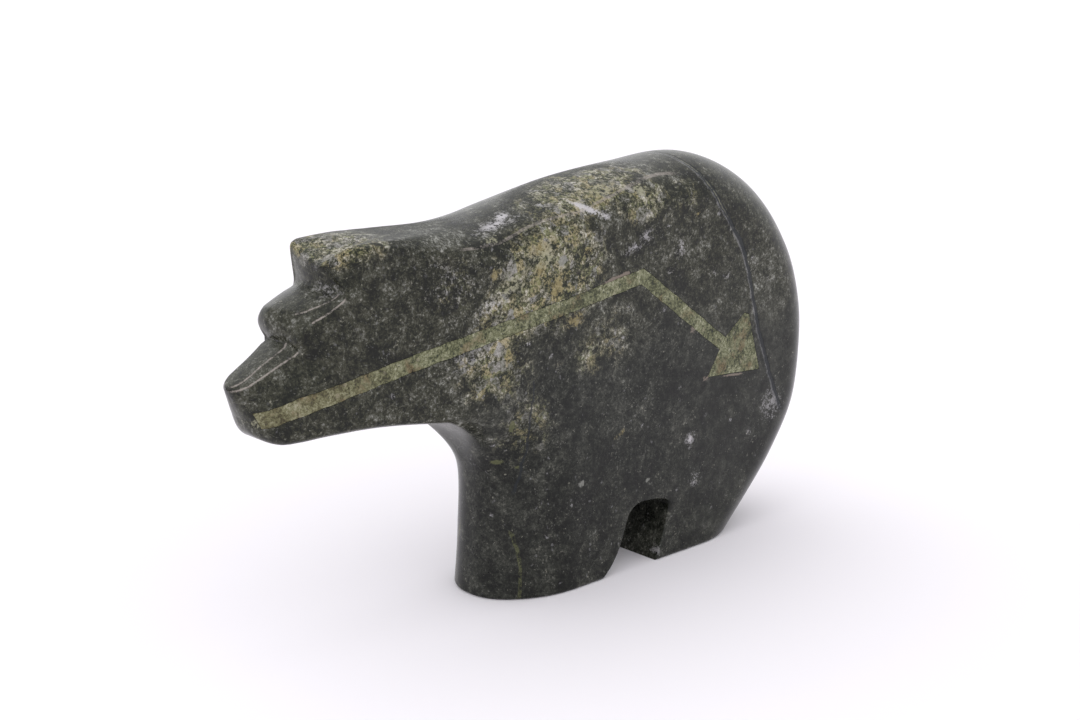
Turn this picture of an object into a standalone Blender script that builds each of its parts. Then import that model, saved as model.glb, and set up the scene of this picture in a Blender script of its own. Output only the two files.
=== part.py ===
"""Standing bear carved from one slab of green serpentine, with a heartline of paler stone.

X runs from the nose (-X) to the rump (+X), the left side faces -Y and Z is up. The origin lies under
the middle of the carving, on the surface that its soles stand on. Lengths are in metres. The carving
keeps its pose and proportions as shares of its own length, height and thickness; the slot in its left
side, the tiles in that slot and the gap round each tile have sizes of their own.
"""

from dataclasses import dataclass

import bmesh
import bpy
import numpy as np

# Overall sizes: a five inch carving from a slab one inch thick, ground down
LENGTH = 0.127
HEIGHT = 0.0729
THICKNESS = 0.023

# Heartline: a slot let into the left side, and the gap round each tile that fills it
SLOT_WIDTH = 0.00266
SLOT_DEPTH = 0.0020
TILE_GAP = 0.0003

# How far in from the outline the slab's edges are rounded, and how much of the half width they take
BACK_REACH = 0.0073
RUMP_REACH = 0.0092
CHEST_REACH = 0.0147
JAW_REACH = 0.0015
NOSE_REACH = 0.0028
EAR_REACH = 0.0004
BACK_ROUNDNESS = 1.0
CHEST_ROUNDNESS = 0.94
JAW_ROUNDNESS = 0.20
NOSE_ROUNDNESS = 0.92
EAR_ROUNDNESS = 0.05

# Where one rounding passes into the next, in shares of the length along the outline: on the back from
# the ear tips, on the front from the nose, and on the chest from the throat
NAPE_EASE = (0.028, 0.268)
RUMP_EASE = (0.537, 0.814)
NOSE_EASE = (0.012, 0.060)
CHEST_EASE = (-0.018, 0.139)

# Upright corners of the brow's and the ears' faces, and the broader one of the left ear
BROW_FACE_REACH = 0.0016
EAR_FACE_REACH = 0.0021
FACE_SHARE = 0.8
LEFT_EAR_REACH = 0.0060
LEFT_EAR_DEPTH = 0.0034
LEFT_EAR_RISE = (0.790, 0.860)

# The brow's face is set back on the left: by how much, from which side and between which limits
BROW_SLANT = 0.26
SLANT_SIDE = 0.0020
SLANT_RISE = (0.690, 0.765)
SLANT_END = (0.072, 0.135)

# Shallow hollow of the cheek under the brow
HOLLOW_PLACE = (0.089, 0.680)
HOLLOW_SIZE = (0.0022, 0.0042)
HOLLOW_DEPTH = 0.0006

# Cut of the top edges of the head, and the softening of every corner of the outline
CROWN_RISE = 0.0009
BEVEL_LIMIT = 0.7
CORNER_SOFTENING = 0.0007

# Outline of the head: share of the length behind the nose, share of the height above the sole
NOSE = (0.000, 0.624)
BROW_FOOT = (0.0775, 0.6995)
BROW_EDGE = (0.0745, 0.7690)
BROW_FACE = [BROW_FOOT, (0.0705, 0.7220), (0.0685, 0.7485), BROW_EDGE]
EAR_FOOT = (0.129, 0.8055)
EAR_TIP = (0.125, 0.894)
JAW = [(0.0170, 0.556), (0.025, 0.523), (0.043, 0.502), (0.070, 0.4995), (0.110, 0.503),
       (0.178, 0.500), (0.282, 0.476)]

# Outline of the body, in the same shares: over the back and round the rump to the heel, then the chest
NAPE = (0.325, 0.900)
HUMP = (0.771, 0.995)
BUTTOCK = (0.986, 0.295)
HEEL = (0.849, 0.000)
BACK = [EAR_TIP, (0.177, 0.897), (0.254, 0.896), NAPE, (0.430, 0.934), (0.540, 0.969), (0.659, 0.989),
        HUMP, (0.875, 0.916), (0.955, 0.765), (0.994, 0.600), (1.000, 0.470), BUTTOCK,
        (0.934, 0.153), HEEL]
THROAT = (0.369, 0.306)
KNEE = (0.370, 0.143)
TOE = (0.363, 0.000)
CHEST = [(0.282, 0.476), (0.332, 0.416), THROAT, KNEE, TOE]

# Arched notch between the legs, from its front foot over the top to its back foot
NOTCH = [(0.537, 0.000), (0.552, 0.0235), (0.5712, 0.0743), (0.5826, 0.1265), (0.5883, 0.1473),
         (0.5983, 0.1613), (0.6083, 0.1661), (0.6266, 0.1650), (0.6472, 0.1605), (0.6600, 0.1545),
         (0.6675, 0.1455), (0.6666, 0.1195), (0.6628, 0.0945), (0.6531, 0.0455), (0.6454, 0.0118),
         (0.6430, 0.000)]
NOTCH_STEP = 0.0015
NOTCH_BELOW = 0.1

# Plan of the slab: share of the length behind the nose, half width as a share of half the thickness
PLAN = [(-0.02, 0.22), (0.000, 0.320), (0.020, 0.415), (0.079, 0.582), (0.125, 0.684), (0.241, 0.806),
        (0.324, 0.908), (0.408, 0.969), (0.480, 1.000), (0.60, 1.000), (1.02, 1.000)]
PLAN_STEP = 0.002

# Sides of the head lean in above this share of the height, most of all beside the muzzle
LEAN_START = 0.564
LEAN_MUZZLE = 0.28
LEAN_HEAD = 0.05
MUZZLE_END = (0.060, 0.125)
MUZZLE_TOP = (0.660, 0.740)
HEAD_END = (0.176, 0.361)

# Groove between the ears: its line, the depth at its front and the slopes of its two walls, which
# flatten towards the back; it fades past its length
GROOVE_LINE = -0.082
GROOVE_DEPTH = 0.128
GROOVE_EXIT = 0.061
GROOVE_CURVE = 0.8
GROOVE_ROUND = 0.028
GROOVE_LENGTH = 0.120
GROOVE_RIGHT_SLOPE = 0.32
GROOVE_LEFT_SLOPE = 0.60
GROOVE_FLATTENING = 0.3
GROOVE_LIMIT = 1.2
GROOVE_LEAD = 0.02

# Heartline points, in shares of the length and height, and its joints as shares of each run
MOUTH = (0.0232, 0.5580)
BEND = (0.6050, 0.7356)
NECK = (0.7732, 0.5235)
ARROW_TOP = (0.8200, 0.5912)
ARROW_SHOULDER = (0.8302, 0.5850)
ARROW_TIP = (0.8577, 0.4308)
ARROW_LOW = (0.7431, 0.4444)
MOUTH_RUN_JOINTS = [0.187, 0.340, 0.520, 0.665]
ARROW_RUN_JOINTS = [0.252]

# The run from the mouth bows up a little: the rise of each of its joints as a share of the height
MOUTH_RUN_BOWS = [0.0099, 0.0114, 0.0123, 0.0097]

# Facets: steps along each stretch of the outline, rows up each side and columns across the back
STRETCH_STEPS = [8, 6, 7, 7, 10, 16, 12, 5]
GATHERING = 0.55
SIDE_ROWS = 15
BACK_COLUMNS = 9
LINE_STEP = 0.00015
END_STEPS = 5
TILE_STEP = 0.003
JAW_SPLITS = [0.0, 0.38, 0.56, 0.62, 0.68, 1.0]
COLUMN_SHARE = 0.35
COLUMN_OPENING = 0.004
SOLE_BLEND = 0.04
LEAST_HALF_WIDTH = 0.00018
NEARLY_ONE = 0.999
NEARLY_ZERO = 1e-6
SHARP_DEGREES = 30.0

# Stones: colour and roughness
SERPENTINE_COLOUR = (0.046, 0.050, 0.031)
SERPENTINE_ROUGHNESS = 0.32
HEARTLINE_COLOUR = (0.230, 0.245, 0.088)
HEARTLINE_ROUGHNESS = 0.42

# Marks between the stretches of the ridge, and the one at the throat
BROW_FOOT_MARK, BROW_EDGE_MARK, EAR_FOOT_MARK, EAR_TIP_MARK = 1, 2, 3, 4
BACK_MARK = 6
HEEL_MARK = 8
THROAT_MARK = 5


@dataclass(frozen=True)
class Edge:
    """How the slab's top edges are cut at one mark of the outline, in shares of the thickness."""

    crown: float
    left: float
    right: float
    drop: float


# One entry for each mark: nose, brow foot, brow edge, ear foot, ear tip, nape, hump, buttock, heel
EDGES = [
    Edge(0.1, 0.046, 0.020, 0.015),
    Edge(0.2, 0.112, 0.030, 0.041),
    Edge(0.6, 0.117, 0.050, 0.050),
    Edge(1.1, 0.056, 0.031, 0.026),
    Edge(0.1, 0.026, 0.020, 0.020),
    Edge(0.0, 0.0, 0.0, 0.020),
    Edge(0.0, 0.0, 0.0, 0.020),
    Edge(0.0, 0.0, 0.0, 0.020),
    Edge(0.0, 0.0, 0.0, 0.020),
]


def place(point):
    """Turn shares of the length and height into metres in the XZ plane."""
    return np.array([(point[0] - 0.5) * LENGTH, point[1] * HEIGHT])


def smoothstep(t):
    """Ease from 0 to 1."""
    t = np.clip(t, 0.0, 1.0)
    return t * t * (3.0 - 2.0 * t)


def between(value, limits):
    """Ease from 0 to 1 as a share passes between two limits."""
    return smoothstep((value - limits[0]) / (limits[1] - limits[0]))


def arc_lengths(line):
    """Distance along a line of points, from its first point."""
    steps = np.linalg.norm(np.diff(line, axis=0), axis=1)
    return np.concatenate([[0.0], np.cumsum(steps)])


def resample(line, distances):
    """Points at the given distances along a line."""
    along = arc_lengths(line)
    return np.stack([np.interp(distances, along, line[:, axis]) for axis in range(2)], axis=-1)


def smooth_curve(points, step=LINE_STEP):
    """Centripetal Catmull-Rom curve through the points, sampled about once every step."""
    points = np.asarray(points, dtype=float)
    knots = np.concatenate([[0.0], np.cumsum(np.sqrt(np.linalg.norm(np.diff(points, axis=0), axis=1)))])
    spans = np.diff(knots)
    slopes = np.diff(points, axis=0) / spans[:, None]
    tangents = np.empty_like(points)
    if len(points) == 2:
        tangents[:] = slopes[0]
    else:
        weighted = slopes[:-1] * spans[1:, None] + slopes[1:] * spans[:-1, None]
        tangents[1:-1] = weighted / (spans[:-1] + spans[1:])[:, None]
        tangents[0] = 1.5 * slopes[0] - 0.5 * tangents[1]
        tangents[-1] = 1.5 * slopes[-1] - 0.5 * tangents[-2]
    count = max(8, int(arc_lengths(points)[-1] / step))
    where = np.linspace(0.0, knots[-1], count)
    span = np.clip(np.searchsorted(knots, where, side="right") - 1, 0, len(spans) - 1)
    t = ((where - knots[span]) / spans[span])[:, None]
    reach = spans[span][:, None]
    return ((2 * t**3 - 3 * t**2 + 1) * points[span] + (t**3 - 2 * t**2 + t) * reach * tangents[span]
            + (3 * t**2 - 2 * t**3) * points[span + 1] + (t**3 - t**2) * reach * tangents[span + 1])


def split(line, places):
    """Cut a line into pieces at the given places along its points."""
    return [line[a:b + 1] for a, b in zip(places[:-1], places[1:])]


def split_at(line, points):
    """Cut a line into pieces at the points nearest to the given ones."""
    inner = [int(np.linalg.norm(line - place(point), axis=1).argmin()) for point in points]
    return split(line, [0, *inner, len(line) - 1])


def split_by(line, shares):
    """Cut a line into pieces at the given shares of its length."""
    along = arc_lengths(line)
    return split(line, [int(np.abs(along - share * along[-1]).argmin()) for share in shares])


class Chain:
    """Stretches joined end to end into one line with softened corners and a mark at every join."""

    def __init__(self, stretches):
        lengths = [arc_lengths(stretch)[-1] for stretch in stretches]
        self.marks = np.concatenate([[0.0], np.cumsum(lengths)])
        joined = np.concatenate([stretches[0]] + [stretch[1:] for stretch in stretches[1:]])
        count = int(self.marks[-1] / LINE_STEP)
        self.along = np.linspace(0.0, self.marks[-1], count)
        self.line = self.softened(resample(joined, self.along))

    @staticmethod
    def softened(line):
        """Average the line over a short length, with its ends carried on straight."""
        half = int(CORNER_SOFTENING / LINE_STEP)
        weights = np.convolve(np.ones(half), np.ones(half))
        weights /= weights.sum()
        pad = len(weights) // 2
        before = line[0] + (line[0] - line[1]) * np.arange(pad, 0, -1)[:, None]
        after = line[-1] + (line[-1] - line[-2]) * np.arange(1, pad + 1)[:, None]
        padded = np.concatenate([before, line, after])
        return np.stack([np.convolve(padded[:, axis], weights, "valid") for axis in range(2)], axis=-1)

    def at(self, distances):
        """Points at the given distances along the chain."""
        return np.stack([np.interp(distances, self.along, self.line[:, axis]) for axis in range(2)], -1)

    def part(self, first, last):
        """The chain's own points from one mark to another."""
        inside = (self.along >= self.marks[first]) & (self.along <= self.marks[last])
        return self.line[inside]

    def stations(self):
        """Distances of the facet lines, gathered a little towards every mark."""
        places = [self.marks[:1]]
        for start, end, steps in zip(self.marks[:-1], self.marks[1:], STRETCH_STEPS):
            t = np.arange(1, steps + 1) / steps
            eased = (1.0 - GATHERING) * t + GATHERING * 0.5 * (1.0 - np.cos(np.pi * t))
            places.append(start + (end - start) * eased)
        return np.concatenate(places)


def nearest(points, line):
    """Distance from each point to a line, and the place along the line that is nearest to it."""
    start = line[:-1]
    step = np.diff(line, axis=0)
    offset = points[:, None] - start[None]
    share = np.clip((offset * step).sum(-1) / (step**2).sum(-1), 0.0, 1.0)
    gap = np.linalg.norm(offset - share[..., None] * step, axis=-1)
    best = gap.argmin(axis=1)
    rows = np.arange(len(points))
    return gap[rows, best], best + share[rows, best]


@dataclass(frozen=True)
class Rounding:
    """A rounded edge: its line, and at every point of it the reach and the share of the width taken."""

    line: np.ndarray
    reach: np.ndarray
    share: np.ndarray

    def measure(self, points, width):
        """Distance, reach and depth taken from the half width, at points beside the edge."""
        gap, where = nearest(points, self.line)
        steps = np.arange(len(self.line))
        reach = np.interp(where, steps, self.reach)
        return gap, reach, np.interp(where, steps, self.share) * width


def quarter_round(share):
    """Loss beside a quarter-round edge: 1 at the edge and 0 from one reach inside it."""
    return 1.0 - np.sqrt(1.0 - (1.0 - np.clip(share, 0.0, 1.0))**2)


def carried_on(line):
    """A line carried on straight past its last point, below the ground."""
    way = unit(line[-1] - line[-1 - END_STEPS])
    return np.concatenate([line, line[-1:] + way * HEIGHT / 2])


class Slab:
    """The bear's outline in the XZ plane and the half width of the carved slab inside it."""

    def __init__(self):
        stretches = [[NOSE, BROW_FOOT], BROW_FACE, [BROW_EDGE, EAR_FOOT], [EAR_FOOT, EAR_TIP]]
        head = [smooth_curve([place(point) for point in stretch]) for stretch in stretches]
        back = smooth_curve([place(point) for point in BACK])
        jaw = smooth_curve([place(point) for point in JAW])
        chest = smooth_curve([place(point) for point in CHEST])
        self.ridge = Chain(head + split_at(back, [NAPE, HUMP, BUTTOCK]))
        self.belly = Chain(split_by(jaw, JAW_SPLITS) + split_at(chest, [THROAT, KNEE]))
        self.nose_line = smooth_curve([self.ridge.line[0], self.belly.line[0]])
        self.nose_length = arc_lengths(self.nose_line)[-1]
        self.plan = smooth_curve(np.array(PLAN), PLAN_STEP)
        self.back = self.back_rounding()
        self.front = self.front_rounding()

    def back_rounding(self):
        """The rounded back, from the ear tips over the rump to the heel."""
        line = carried_on(self.ridge.part(EAR_TIP_MARK, HEEL_MARK))
        along = arc_lengths(line) / LENGTH
        nape = between(along, NAPE_EASE)
        rump = between(along, RUMP_EASE)
        reach = EAR_REACH + (BACK_REACH - EAR_REACH) * nape + (RUMP_REACH - BACK_REACH) * rump
        return Rounding(line, reach, EAR_ROUNDNESS + (BACK_ROUNDNESS - EAR_ROUNDNESS) * nape)

    def front_rounding(self):
        """The rounded nose, jaw, throat and chest, down to the toe."""
        line = carried_on(np.concatenate([self.nose_line, self.belly.line[1:]]))
        along = (arc_lengths(line) - self.nose_length) / LENGTH
        nose = 1.0 - between(along, NOSE_EASE)
        chest = between(along - self.belly.marks[THROAT_MARK] / LENGTH, CHEST_EASE)
        reach = JAW_REACH + (NOSE_REACH - JAW_REACH) * nose + (CHEST_REACH - JAW_REACH) * chest
        share = (JAW_ROUNDNESS + (NOSE_ROUNDNESS - JAW_ROUNDNESS) * nose
                 + (CHEST_ROUNDNESS - JAW_ROUNDNESS) * chest)
        return Rounding(line, reach, share)

    def edge_value(self, distances, field):
        """A value of EDGES between its marks."""
        return np.interp(distances, self.ridge.marks, [getattr(edge, field) for edge in EDGES])

    def plain_half_width(self, points):
        """Half width of the slab before its edges are rounded."""
        along = points[:, 0] / LENGTH + 0.5
        up = points[:, 1] / HEIGHT
        width = np.minimum(np.interp(along, self.plan[:, 0], self.plan[:, 1]), 1.0) * THICKNESS / 2
        head = 1.0 - between(along, HEAD_END)
        muzzle = (1.0 - between(along, MUZZLE_END)) * (1.0 - between(up, MUZZLE_TOP))
        lean = LEAN_HEAD * head + (LEAN_MUZZLE - LEAN_HEAD) * muzzle
        return width - lean * np.maximum(up - LEAN_START, 0.0) * HEIGHT

    def half_width(self, points):
        """Half width of the slab at points of the XZ plane, with its edges rounded."""
        width = self.plain_half_width(points)
        for rounding in (self.back, self.front):
            gap, reach, depth = rounding.measure(points, width)
            width = width - depth * quarter_round(gap / reach)
        for first, last, reach in ((BROW_FOOT_MARK, BROW_EDGE_MARK, BROW_FACE_REACH),
                                   (EAR_FOOT_MARK, EAR_TIP_MARK, EAR_FACE_REACH)):
            gap, _ = nearest(points, self.ridge.part(first, last))
            width = width - FACE_SHARE * reach * quarter_round(gap / reach)
        offset = (points - place(HOLLOW_PLACE)) / np.array(HOLLOW_SIZE)
        width = width - HOLLOW_DEPTH * np.exp(-(offset**2).sum(-1))
        return np.maximum(width, LEAST_HALF_WIDTH)

    def left_loss(self, points):
        """What the broad corner of the left ear takes from the left side, above the ear's foot."""
        gap, _ = nearest(points, self.ridge.part(EAR_FOOT_MARK, EAR_TIP_MARK))
        above = between(points[:, 1] / HEIGHT, LEFT_EAR_RISE)
        return LEFT_EAR_DEPTH * above * quarter_round(gap / LEFT_EAR_REACH)


class Border:
    """One border of the sides: the outline, the line inside it and the columns between the sides."""

    def __init__(self, chain, rounding, first_mark, inward, least_inset, lead=0.0):
        places = chain.stations()
        self.outline = chain.at(places)
        ahead = chain.at(np.minimum(places + LINE_STEP, chain.marks[-1]))
        behind = chain.at(np.maximum(places - LINE_STEP, 0.0))
        normals = (ahead - behind)[:, ::-1] * np.array([1.0, -1.0]) * inward
        normals /= np.linalg.norm(normals, axis=1)[:, None]
        sole = smoothstep(1.0 - (chain.marks[-1] - places) / (SOLE_BLEND * LENGTH))[:, None]
        level = np.array([[np.sign(normals[-1, 0]) / abs(normals[-1, 0]), 0.0]])
        normals = normals * (1.0 - sole) + level * sole
        beyond = np.maximum(places - chain.marks[first_mark], 0.0)
        reach = np.interp(beyond + lead, arc_lengths(rounding.line), rounding.reach)
        opening = np.minimum(beyond / COLUMN_OPENING, 1.0)
        self.rounded = beyond > 0.0
        inset = np.maximum(COLUMN_SHARE * reach * opening * (2.0 - opening), least_inset(places))
        self.inner = self.outline + normals * inset[:, None]
        self.rounding = rounding

    def columns(self, slab, across, half_width):
        """How far each column of the border lies from the outline towards the inner line."""
        width = slab.plain_half_width(self.inner)
        _, _, depth = self.rounding.measure(self.inner, width)
        flat = (width - depth)[:, None]

        def inwards(offset):
            share = np.clip((np.abs(offset) - flat) / depth[:, None], 0.0, NEARLY_ONE)
            return 1.0 - np.sqrt(1.0 - share**2)

        edge = np.maximum(inwards(half_width[:, None]), NEARLY_ZERO)
        curved = np.minimum(inwards(across * half_width[:, None]) / edge, 1.0)
        domed = np.broadcast_to(across**2, curved.shape)
        share = np.where(self.rounded[:, None], curved, domed)
        share[:, 0] = share[:, -1] = 1.0
        line = self.inner - self.outline
        return self.outline[:, None] + line[:, None] * share[..., None]


def ear_groove(grid, slab):
    """Lower the ears into the groove between them, every upright line in proportion."""
    tip = place(EAR_TIP)
    foot = place(EAR_FOOT)[1]
    behind = np.clip((grid[..., 0] - tip[0]) / (GROOVE_LENGTH * LENGTH), 0.0, GROOVE_LIMIT)
    rise = (GROOVE_DEPTH + GROOVE_EXIT) * behind**GROOVE_CURVE - GROOVE_DEPTH
    across = grid[..., 1] / THICKNESS - GROOVE_LINE
    slope = np.where(across > 0.0, GROOVE_RIGHT_SLOPE, GROOVE_LEFT_SLOPE)
    slope = slope * (1.0 - GROOVE_FLATTENING * behind)
    wall = np.sqrt(across**2 + GROOVE_ROUND**2) - GROOVE_ROUND
    limit = tip[1] + THICKNESS * (rise + slope * wall)
    ridge = slab.ridge.part(EAR_TIP_MARK, BACK_MARK)
    top = np.interp(grid[..., 0], ridge[:, 0], ridge[:, 1])
    share = np.clip((limit - foot) / (top - foot), 0.0, 1.0)
    inside = (grid[..., 0] > tip[0] - GROOVE_LEAD * LENGTH) & (behind < GROOVE_LIMIT) & (grid[..., 2] > foot)
    grid[..., 2] = np.where(inside, foot + (grid[..., 2] - foot) * share, grid[..., 2])
    return grid


def brow_slant(grid):
    """Set the brow's face back in proportion to the distance on its left side, upwards of its foot."""
    along = grid[..., 0] / LENGTH + 0.5
    share = between(grid[..., 2] / HEIGHT, SLANT_RISE) * (1.0 - between(along, SLANT_END))
    grid[..., 0] += BROW_SLANT * np.maximum(SLANT_SIDE - grid[..., 1], 0.0) * share
    return grid


def bevelled(slab, width, depth, places, side):
    """The half width less the bevel of one side: full at the top edge, nothing below its drop."""
    inset = slab.edge_value(places, side)[:, None] * THICKNESS
    drop = slab.edge_value(places, "drop")[:, None] * THICKNESS
    return width - np.minimum(inset, BEVEL_LIMIT * width) * (1.0 - np.clip(depth / drop, 0.0, 1.0))


def body_grid(slab):
    """Points of a bent box: stations from nose to soles, rows up the sides, columns across the back."""
    places = slab.ridge.stations()
    top = Border(slab.ridge, slab.back, EAR_TIP_MARK, 1.0,
                 lambda at: CROWN_RISE * slab.edge_value(at, "crown"))
    base = Border(slab.belly, slab.front, 0, -1.0, np.zeros_like, slab.nose_length)
    count = len(places)
    rise = 0.5 * (1.0 - np.cos(np.linspace(0.0, np.pi, SIDE_ROWS)))
    side = base.inner[:, None] * (1.0 - rise)[None, :, None] + top.inner[:, None] * rise[None, :, None]
    width = slab.half_width(side.reshape(-1, 2)).reshape(count, SIDE_ROWS)
    depth = (1.0 - rise)[None] * np.linalg.norm(top.inner - base.inner, axis=1)[:, None]
    loss = slab.left_loss(side.reshape(-1, 2)).reshape(count, SIDE_ROWS)
    left = bevelled(slab, width - loss, depth, places, "left")[..., None]
    right = bevelled(slab, width, depth, places, "right")[..., None]
    across = np.linspace(-1.0, 1.0, BACK_COLUMNS)
    grid = np.zeros((count, SIDE_ROWS, BACK_COLUMNS, 3))
    grid[..., 0] = side[..., 0, None]
    grid[..., 1] = (left + right) / 2 * across + (right - left) / 2
    grid[..., 2] = side[..., 1, None]
    for row, border in ((-1, top), (0, base)):
        cap = border.columns(slab, across, width[:, row])
        grid[:, row, :, 0] = cap[..., 0]
        grid[:, row, :, 2] = cap[..., 1]
    return ear_groove(brow_slant(grid), slab)


def box_mesh(name, grid):
    """Closed mesh over the six sides of a grid of points, with its faces outwards."""
    along, up, across = grid.shape[:3]
    ids = np.arange(along * up * across).reshape(along, up, across)
    sides = [ids[:, :, 0], ids[:, ::-1, -1], ids[:, -1, :], ids[:, 0, ::-1], ids[0], ids[-1, ::-1]]
    quads = []
    for side in sides:
        corners = [side[:-1, :-1], side[1:, :-1], side[1:, 1:], side[:-1, 1:]]
        quads.append(np.stack(corners, axis=-1).reshape(-1, 4))
    used, faces = np.unique(np.concatenate(quads), return_inverse=True)
    mesh = bpy.data.meshes.new(name)
    mesh.from_pydata(grid.reshape(-1, 3)[used].tolist(), [], faces.reshape(-1, 4).tolist())
    mesh.validate()
    return mesh


def sheet_mesh(name, points, faces, outer, inner):
    """Closed mesh between two copies of a flat sheet, at the given half widths on the left side."""
    count = len(points)
    front = np.column_stack([points[:, 0], -outer, points[:, 1]])
    rear = np.column_stack([points[:, 0], -inner, points[:, 1]])
    edges = [(face[k], face[(k + 1) % len(face)]) for face in faces for k in range(len(face))]
    rim = [(a, b) for a, b in edges if (b, a) not in edges]
    shell = [list(face) for face in faces]
    shell += [[index + count for index in reversed(face)] for face in faces]
    shell += [[b, a, a + count, b + count] for a, b in rim]
    mesh = bpy.data.meshes.new(name)
    mesh.from_pydata(np.concatenate([front, rear]).tolist(), [], shell)
    mesh.validate()
    return mesh


@dataclass(frozen=True)
class Cut:
    """A straight cut across the heartline: a point on its middle line and the way the cut runs."""

    point: np.ndarray
    way: np.ndarray

    def corner(self, along, offset, shift=0.0):
        """The place at an offset from the middle line, with the cut moved along the line."""
        normal = np.array([-along[1], along[0]])
        slant = float(self.way @ normal)
        return self.point + along * shift / abs(slant) + self.way * offset / slant


class Heartline:
    """The two runs of the heartline, the cuts between their tiles and the arrowhead."""

    def __init__(self, slab):
        self.slab = slab
        mouth, bend, neck = place(MOUTH), place(BEND), place(NECK)
        nose_way = unit(slab.nose_line[0] - slab.nose_line[-1])
        first, second = unit(bend - mouth), unit(neck - bend)
        bisector = unit(turned(first) + turned(second))
        mouth_cuts = [Cut(mouth, nose_way)]
        mouth_cuts += [Cut(mouth + (bend - mouth) * share + np.array([0.0, bow * HEIGHT]), turned(first))
                       for share, bow in zip(MOUTH_RUN_JOINTS, MOUTH_RUN_BOWS)]
        mouth_cuts += [Cut(bend, bisector)]
        arrow_cuts = [Cut(bend, bisector)]
        arrow_cuts += [Cut(bend + (neck - bend) * share, turned(second)) for share in ARROW_RUN_JOINTS]
        arrow_cuts += [Cut(neck, turned(second))]
        self.runs = [(first, mouth_cuts), (second, arrow_cuts)]

    def tile_sheets(self):
        """The outline sheet of each straight tile, from the mouth to the arrowhead."""
        half = SLOT_WIDTH / 2 - TILE_GAP
        sheets = []
        for number, (along, cuts) in enumerate(self.runs):
            for start, end in zip(cuts[:-1], cuts[1:]):
                at_mouth = number == 0 and start is cuts[0]
                near = TILE_GAP if at_mouth else TILE_GAP / 2
                sheets.append(ladder([(start, near), (end, -TILE_GAP / 2)], along, half))
        return sheets

    def slot_sheet(self):
        """The whole slot as one sheet: both runs, then the arrowhead."""
        half = SLOT_WIDTH / 2
        points, faces = [], []
        for along, cuts in self.runs:
            for start, end in zip(cuts[:-1], cuts[1:]):
                new_points, new_faces = ladder([(start, 0.0), (end, 0.0)], along, half)
                shared = 2 if points else 0
                base = len(points) - shared
                points += list(new_points[shared:])
                faces += [[index + base for index in face] for face in new_faces]
        low, high = len(points) - 2, len(points) - 1
        points += [place(point) for point in (ARROW_LOW, ARROW_TIP, ARROW_SHOULDER, ARROW_TOP)]
        barb, tip, shoulder, top = range(high + 1, high + 5)
        faces += [[low, barb, tip], [low, tip, high], [high, tip, shoulder], [high, shoulder, top]]
        return np.array(points), faces

    def arrow_sheet(self):
        """The arrowhead's outline, drawn in by the gap on every side."""
        along, cuts = self.runs[-1]
        half = SLOT_WIDTH / 2
        corners = [cuts[-1].corner(along, -half)]
        corners += [place(point) for point in (ARROW_LOW, ARROW_TIP, ARROW_SHOULDER, ARROW_TOP)]
        corners += [cuts[-1].corner(along, half)]
        return drawn_in(np.array(corners), TILE_GAP), [[0, 1, 2], [0, 2, 5], [5, 2, 3], [5, 3, 4]]

    def solid(self, name, sheet, proud, depth):
        """A closed mesh of a sheet that follows the side of the slab from outside to a depth."""
        points, faces = sheet
        points = np.asarray(points)
        width = self.slab.half_width(points)
        return sheet_mesh(name, points, faces, width + proud, width - depth)


def unit(vector):
    """The vector at length one."""
    return vector / np.linalg.norm(vector)


def turned(vector):
    """The vector turned a quarter turn, so that a run's left becomes up."""
    return np.array([-vector[1], vector[0]])


def ladder(ends, along, half):
    """A strip between two cuts with a rung about every TILE_STEP: lower and upper point in turn."""
    (start, start_shift), (end, end_shift) = ends
    steps = max(1, int(round(np.linalg.norm(end.point - start.point) / TILE_STEP)))
    points = []
    for share in np.linspace(0.0, 1.0, steps + 1):
        for offset in (-half, half):
            first = start.corner(along, offset, start_shift)
            last = end.corner(along, offset, end_shift)
            points.append(first + (last - first) * share)
    faces = [[2 * k, 2 * k + 2, 2 * k + 3, 2 * k + 1] for k in range(steps)]
    return np.array(points), faces


def drawn_in(corners, gap):
    """A closed outline, counter-clockwise, with every side moved inwards by the gap."""
    moved = []
    count = len(corners)
    for k in range(count):
        before = unit(corners[k] - corners[k - 1])
        after = unit(corners[(k + 1) % count] - corners[k])
        inward = turned(before) + turned(after)
        moved.append(corners[k] + inward * gap / (1.0 + float(turned(before) @ turned(after))))
    return np.array(moved)


def notch_mesh(name):
    """Cutter for the notch between the legs, from below the soles and right through the slab."""
    outline = smooth_curve([place(point) for point in NOTCH], NOTCH_STEP)
    below = np.array([[outline[-1][0], -NOTCH_BELOW * HEIGHT], [outline[0][0], -NOTCH_BELOW * HEIGHT]])
    outline = np.concatenate([outline, below])
    mesh = bpy.data.meshes.new(name)
    shape = bmesh.new()
    corners = [shape.verts.new((x, -THICKNESS, z)) for x, z in outline]
    face = shape.faces.new(corners)
    swept = bmesh.ops.extrude_face_region(shape, geom=[face])
    moved = [item for item in swept["geom"] if isinstance(item, bmesh.types.BMVert)]
    bmesh.ops.translate(shape, verts=moved, vec=(0.0, 2 * THICKNESS, 0.0))
    bmesh.ops.recalc_face_normals(shape, faces=shape.faces)
    shape.to_mesh(mesh)
    shape.free()
    return mesh


def stone(name, colour, roughness):
    """A stone material with one colour."""
    material = bpy.data.materials.new(name)
    material.use_nodes = True
    shader = material.node_tree.nodes["Principled BSDF"]
    shader.inputs["Base Color"].default_value = (*colour, 1.0)
    shader.inputs["Roughness"].default_value = roughness
    shader.inputs["Metallic"].default_value = 0.0
    return material


def add_object(name, mesh, material=None):
    """Put a mesh into the scene as an object."""
    item = bpy.data.objects.new(name, mesh)
    bpy.context.scene.collection.objects.link(item)
    if material is not None:
        mesh.materials.append(material)
    return item


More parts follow.
